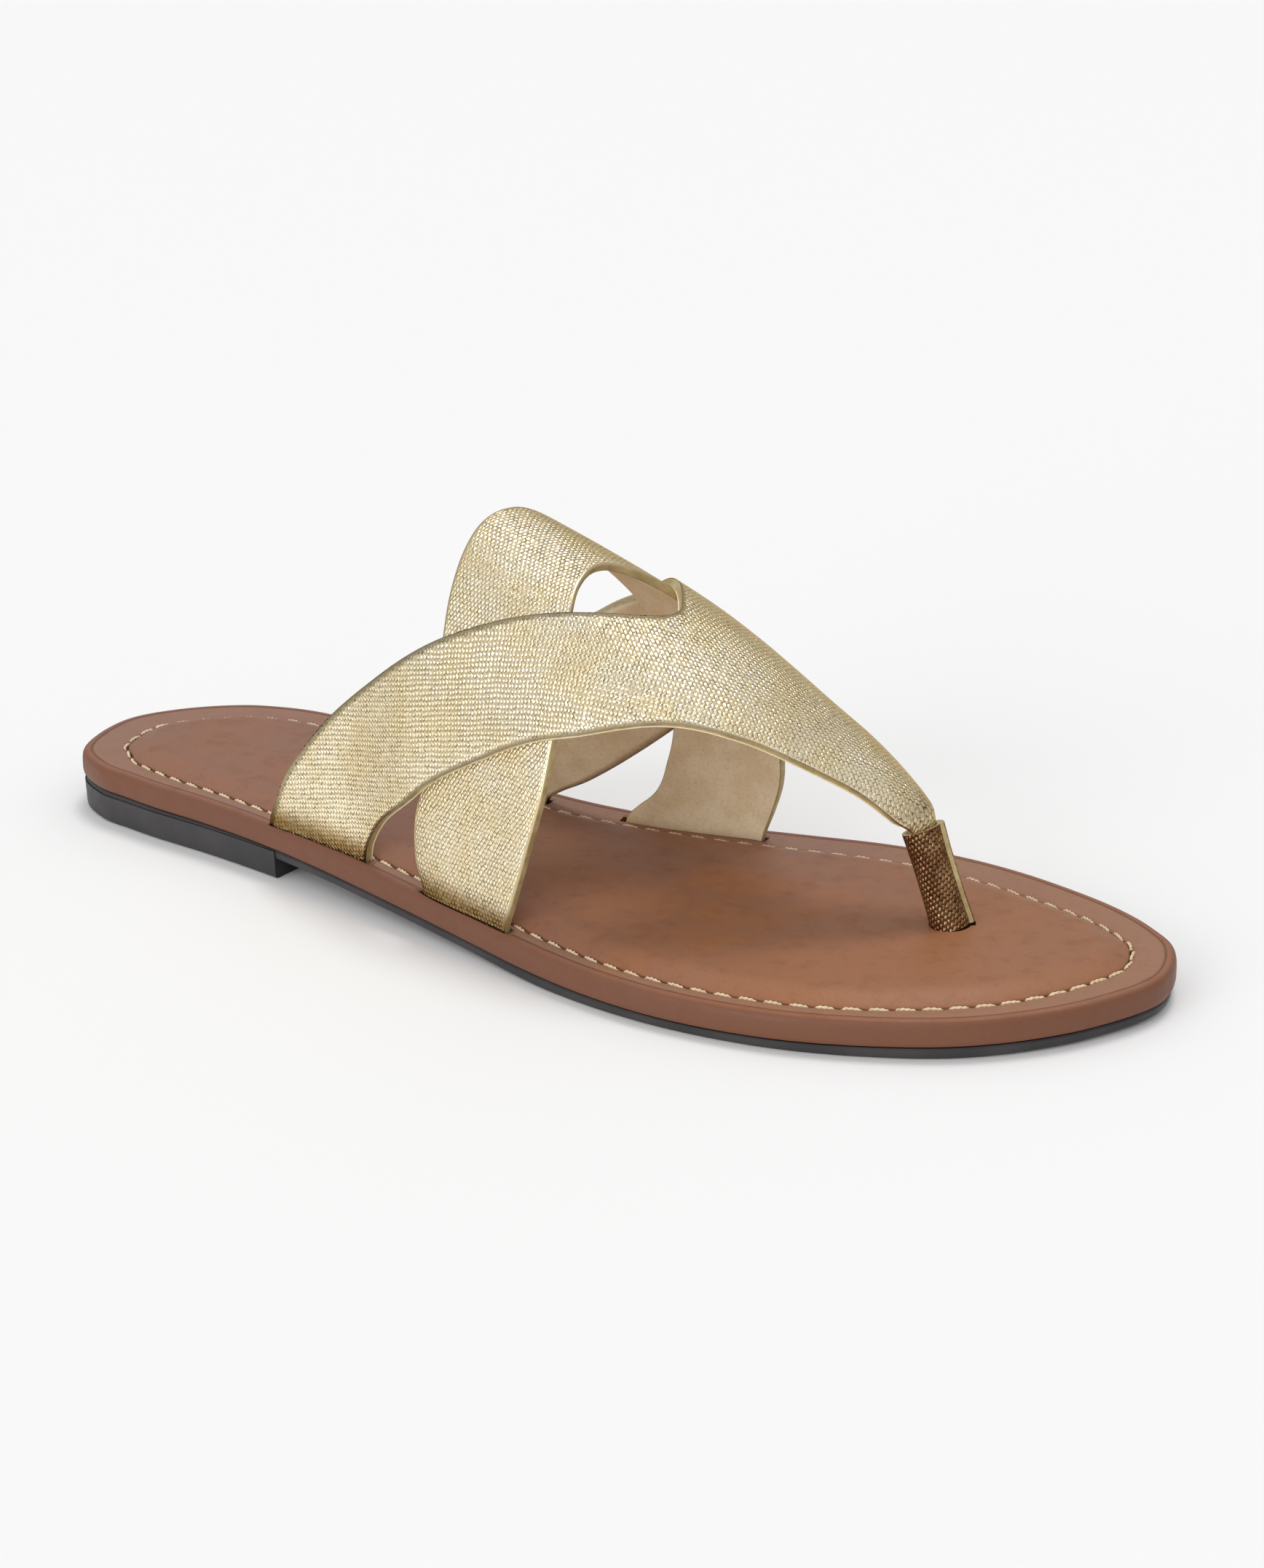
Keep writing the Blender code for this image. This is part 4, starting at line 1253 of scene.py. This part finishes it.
# Woven sleeve of the toe post, wrapped once with its end lapped over
def sleeve():
    length = sleeve_frame()[3]
    shares = np.linspace(-SLEEVE_SINK / length * SLEEVE_FOOT_SHARE, 1.0, SLEEVE_STEPS + 1)
    flare = np.interp(shares, *np.transpose(SLEEVE_FLARE))
    rings, marks = [], []
    around = np.linspace(0, 2 * math.pi * (SLEEVE_HALF_WIDTH + SLEEVE_HALF_DEPTH) / 2, SLEEVE_SIDES)
    c = math.cos(math.radians(SLEEVE_TURN))
    s = math.sin(math.radians(SLEEVE_TURN))
    for share, grow in zip(shares, flare):
        rings.append(sleeve_ring(share, SLEEVE_HALF_WIDTH + grow, SLEEVE_HALF_DEPTH + grow, LAP_HEIGHT))
        along = share * length
        marks += [(along * c + w * s, w * c - along * s, 1.0) for w in around]
    outer_count = len(rings)
    for share, grow in zip(shares[::-1], flare[::-1]):
        mouth = ease((share - SLEEVE_MOUTH_FROM) / (1 - SLEEVE_MOUTH_FROM))
        wall = SLEEVE_WALL - SLEEVE_MOUTH_THINNING * mouth
        rings.append(sleeve_ring(share, SLEEVE_HALF_WIDTH + grow - wall, SLEEVE_HALF_DEPTH + grow - wall))
        marks += [(0.0, w, 1.0) for w in around]
    faces = ring_faces(0, len(rings), SLEEVE_SIDES, wrapped=True)
    cut = math.floor(LAP_START / (2 * math.pi) * SLEEVE_SIDES)
    kinds = [EDGE_SLOT if k == cut else OUTER_SLOT for k in range(SLEEVE_SIDES)] * (outer_count - 1)
    kinds += [EDGE_SLOT] * SLEEVE_SIDES
    kinds += [INNER_SLOT] * (len(faces) - len(kinds))
    slots = [WEAVE, EDGE, LINING]
    obj = make_object("post_sleeve", np.vstack(rings), faces, slots, kinds, {"weave": marks})
    facing_out(obj)
    obj.data.set_sharp_from_angle(angle=math.radians(SHARP_ANGLES["sleeve"]))
    return settle(obj, "toe_post_sleeve", "toe_post_sleeve")


# Line of the seam with its lengths, the number of stitches on it and their pitch
def seam_line():
    loop = board_ring(MARGIN - STITCH_GAP, 0.0)
    closed = np.vstack([loop, loop[:1]])
    key = np.r_[0.0, np.cumsum(np.linalg.norm(np.diff(closed, axis=0), axis=1))]
    count = round(key[-1] / STITCH_PITCH)
    return (closed, key), count, key[-1] / count


def seam_point(line, s):
    closed, key = line
    s = np.asarray(s) % key[-1]
    return np.stack([np.interp(s, key, closed[:, i]) for i in range(3)], axis=-1)


# Stitches of two twisted strands, one a pitch
def stitches():
    line, count, pitch = seam_line()
    steps = THREAD_STEPS
    sides = THREAD_SIDES
    verts, faces = [], []
    for k in range(count):
        t = np.linspace(0, 1, steps)
        s = k * pitch + STITCH_HOLE + (pitch - 2 * STITCH_HOLE) * t
        centre = seam_point(line, s)
        ahead = seam_point(line, s + SEAM_STEP) - seam_point(line, s - SEAM_STEP)
        ahead /= np.linalg.norm(ahead, axis=1, keepdims=True)
        side = np.cross((0.0, 0.0, 1.0), ahead)
        side /= np.linalg.norm(side, axis=1, keepdims=True)
        rise = SEAM_HEIGHT + STITCH_RISE * np.sin(math.pi * np.clip(t, 0, 1)) ** STITCH_ARCH
        rise = rise - STITCH_SINK * np.abs(2 * t - 1) ** STITCH_SINK_POWER
        centre = centre + side * (STITCH_SLANT * (1 - 2 * t))[:, None]
        centre[:, 2] += rise
        for strand in range(2):
            phase = 2 * math.pi * THREAD_TWIST * t + math.pi * strand + STRAND_PHASE * k
            off = STRAND_OFFSET * THREAD_RADIUS
            path = centre + side * (off * np.cos(phase))[:, None]
            path[:, 2] += off * np.sin(phase)
            start = len(verts)
            full = 1 - STRAND_TAPER + STRAND_TAPER * np.sin(math.pi * t) ** STRAND_TAPER_POWER
            thin = THREAD_RADIUS * full
            for i in range(steps):
                for j in range(sides):
                    turn = 2 * math.pi * j / sides
                    point = path[i] + side[i] * thin[i] * math.cos(turn)
                    point = point + np.array((0.0, 0.0, thin[i] * math.sin(turn)))
                    verts.append(tuple(point))
            faces += ring_faces(start, steps, sides) + end_faces(start, steps, sides)
    obj = make_object("rim_stitches", verts, faces, [THREAD])
    facing_out(obj)
    return settle(obj, "insole_pad")


# Small dark domes between the stitches: painted shade of the needle holes
def needle_holes():
    line, count, pitch = seam_line()
    rows = HOLE_ROWS
    sides = HOLE_SIDES
    verts, faces = [], []
    for k in range(count):
        centre = seam_point(line, k * pitch)
        start = len(verts)
        for r in range(rows):
            turn = math.pi / 2 * r / (rows - 1)
            reach = HOLE_RADIUS * math.cos(turn) * (1 if r < rows - 1 else HOLE_TIP)
            height = HOLE_HEIGHT + HOLE_DOME * math.sin(turn)
            for j in range(sides):
                a = 2 * math.pi * j / sides
                verts.append(centre + (reach * math.cos(a), reach * math.sin(a), height))
        faces += ring_faces(start, rows, sides) + end_faces(start, rows, sides)
    obj = make_object("needle_holes", verts, faces, [HOLE])
    facing_out(obj)
    return settle(obj, "midsole")


def floor():
    mesh = bpy.data.meshes.new("floor")
    size = FLOOR_SIZE
    corners = [(-size, -size, 0), (size, -size, 0), (size, size, 0), (-size, size, 0)]
    mesh.from_pydata(corners, [], [(0, 1, 2, 3)])
    n = Nodes("pale_floor")
    n.set(Base_Color=(FLOOR_GREY, FLOOR_GREY, FLOOR_GREY), Roughness=0.9)
    mesh.materials.append(n.material)
    obj = bpy.data.objects.new("floor", mesh)
    bpy.context.scene.collection.objects.link(obj)
    obj.location.z = FLOOR_DROP * MM


def sun(name, place, spread, strength):
    data = bpy.data.lights.new(name, "SUN")
    data.angle = math.radians(spread)
    data.energy = strength
    obj = bpy.data.objects.new(name, data)
    bpy.context.scene.collection.objects.link(obj)
    obj.location = place
    obj.rotation_euler = (-Vector(place)).to_track_quat("-Z", "Y").to_euler()


def light():
    world = bpy.data.worlds.new("studio")
    bpy.context.scene.world = world
    world.use_nodes = True
    tree = world.node_tree
    background = tree.nodes["Background"]
    coords = tree.nodes.new("ShaderNodeTexCoord")
    split = tree.nodes.new("ShaderNodeSeparateXYZ")
    rise = tree.nodes.new("ShaderNodeMapRange")
    tree.links.new(coords.outputs["Generated"], split.inputs[0])
    tree.links.new(split.outputs[2], rise.inputs["Value"])
    rise.inputs["From Min"].default_value = 0.0
    rise.inputs["From Max"].default_value = WORLD_HIGH_FROM
    rise.inputs["To Min"].default_value = WORLD_LOW
    rise.inputs["To Max"].default_value = WORLD_HIGH
    background.inputs["Color"].default_value = (1.0, 1.0, 1.0, 1.0)
    tree.links.new(rise.outputs["Result"], background.inputs["Strength"])
    for row in SUNS:
        sun(*row)


def camera():
    data = bpy.data.cameras.new("camera")
    data.sensor_fit = "HORIZONTAL"
    data.sensor_width = SENSOR_WIDTH
    data.lens = PHOTO_LENS * FRAMING
    data.shift_x, data.shift_y = SHIFT
    data.clip_start = CLIP_START
    obj = bpy.data.objects.new("camera", data)
    bpy.context.scene.collection.objects.link(obj)
    obj.location = EYE
    turn = (Vector(AIM) - Vector(EYE)).to_track_quat("-Z", "Y")
    obj.rotation_mode = "QUATERNION"
    obj.rotation_quaternion = turn @ Quaternion((0, 0, 1), ROLL)
    bpy.context.scene.camera = obj


board()
pad()
outsole()
band()
fork()
sleeve()
stitches()
needle_holes()
floor()
light()
camera()
bpy.context.scene.view_settings.view_transform = "Standard"
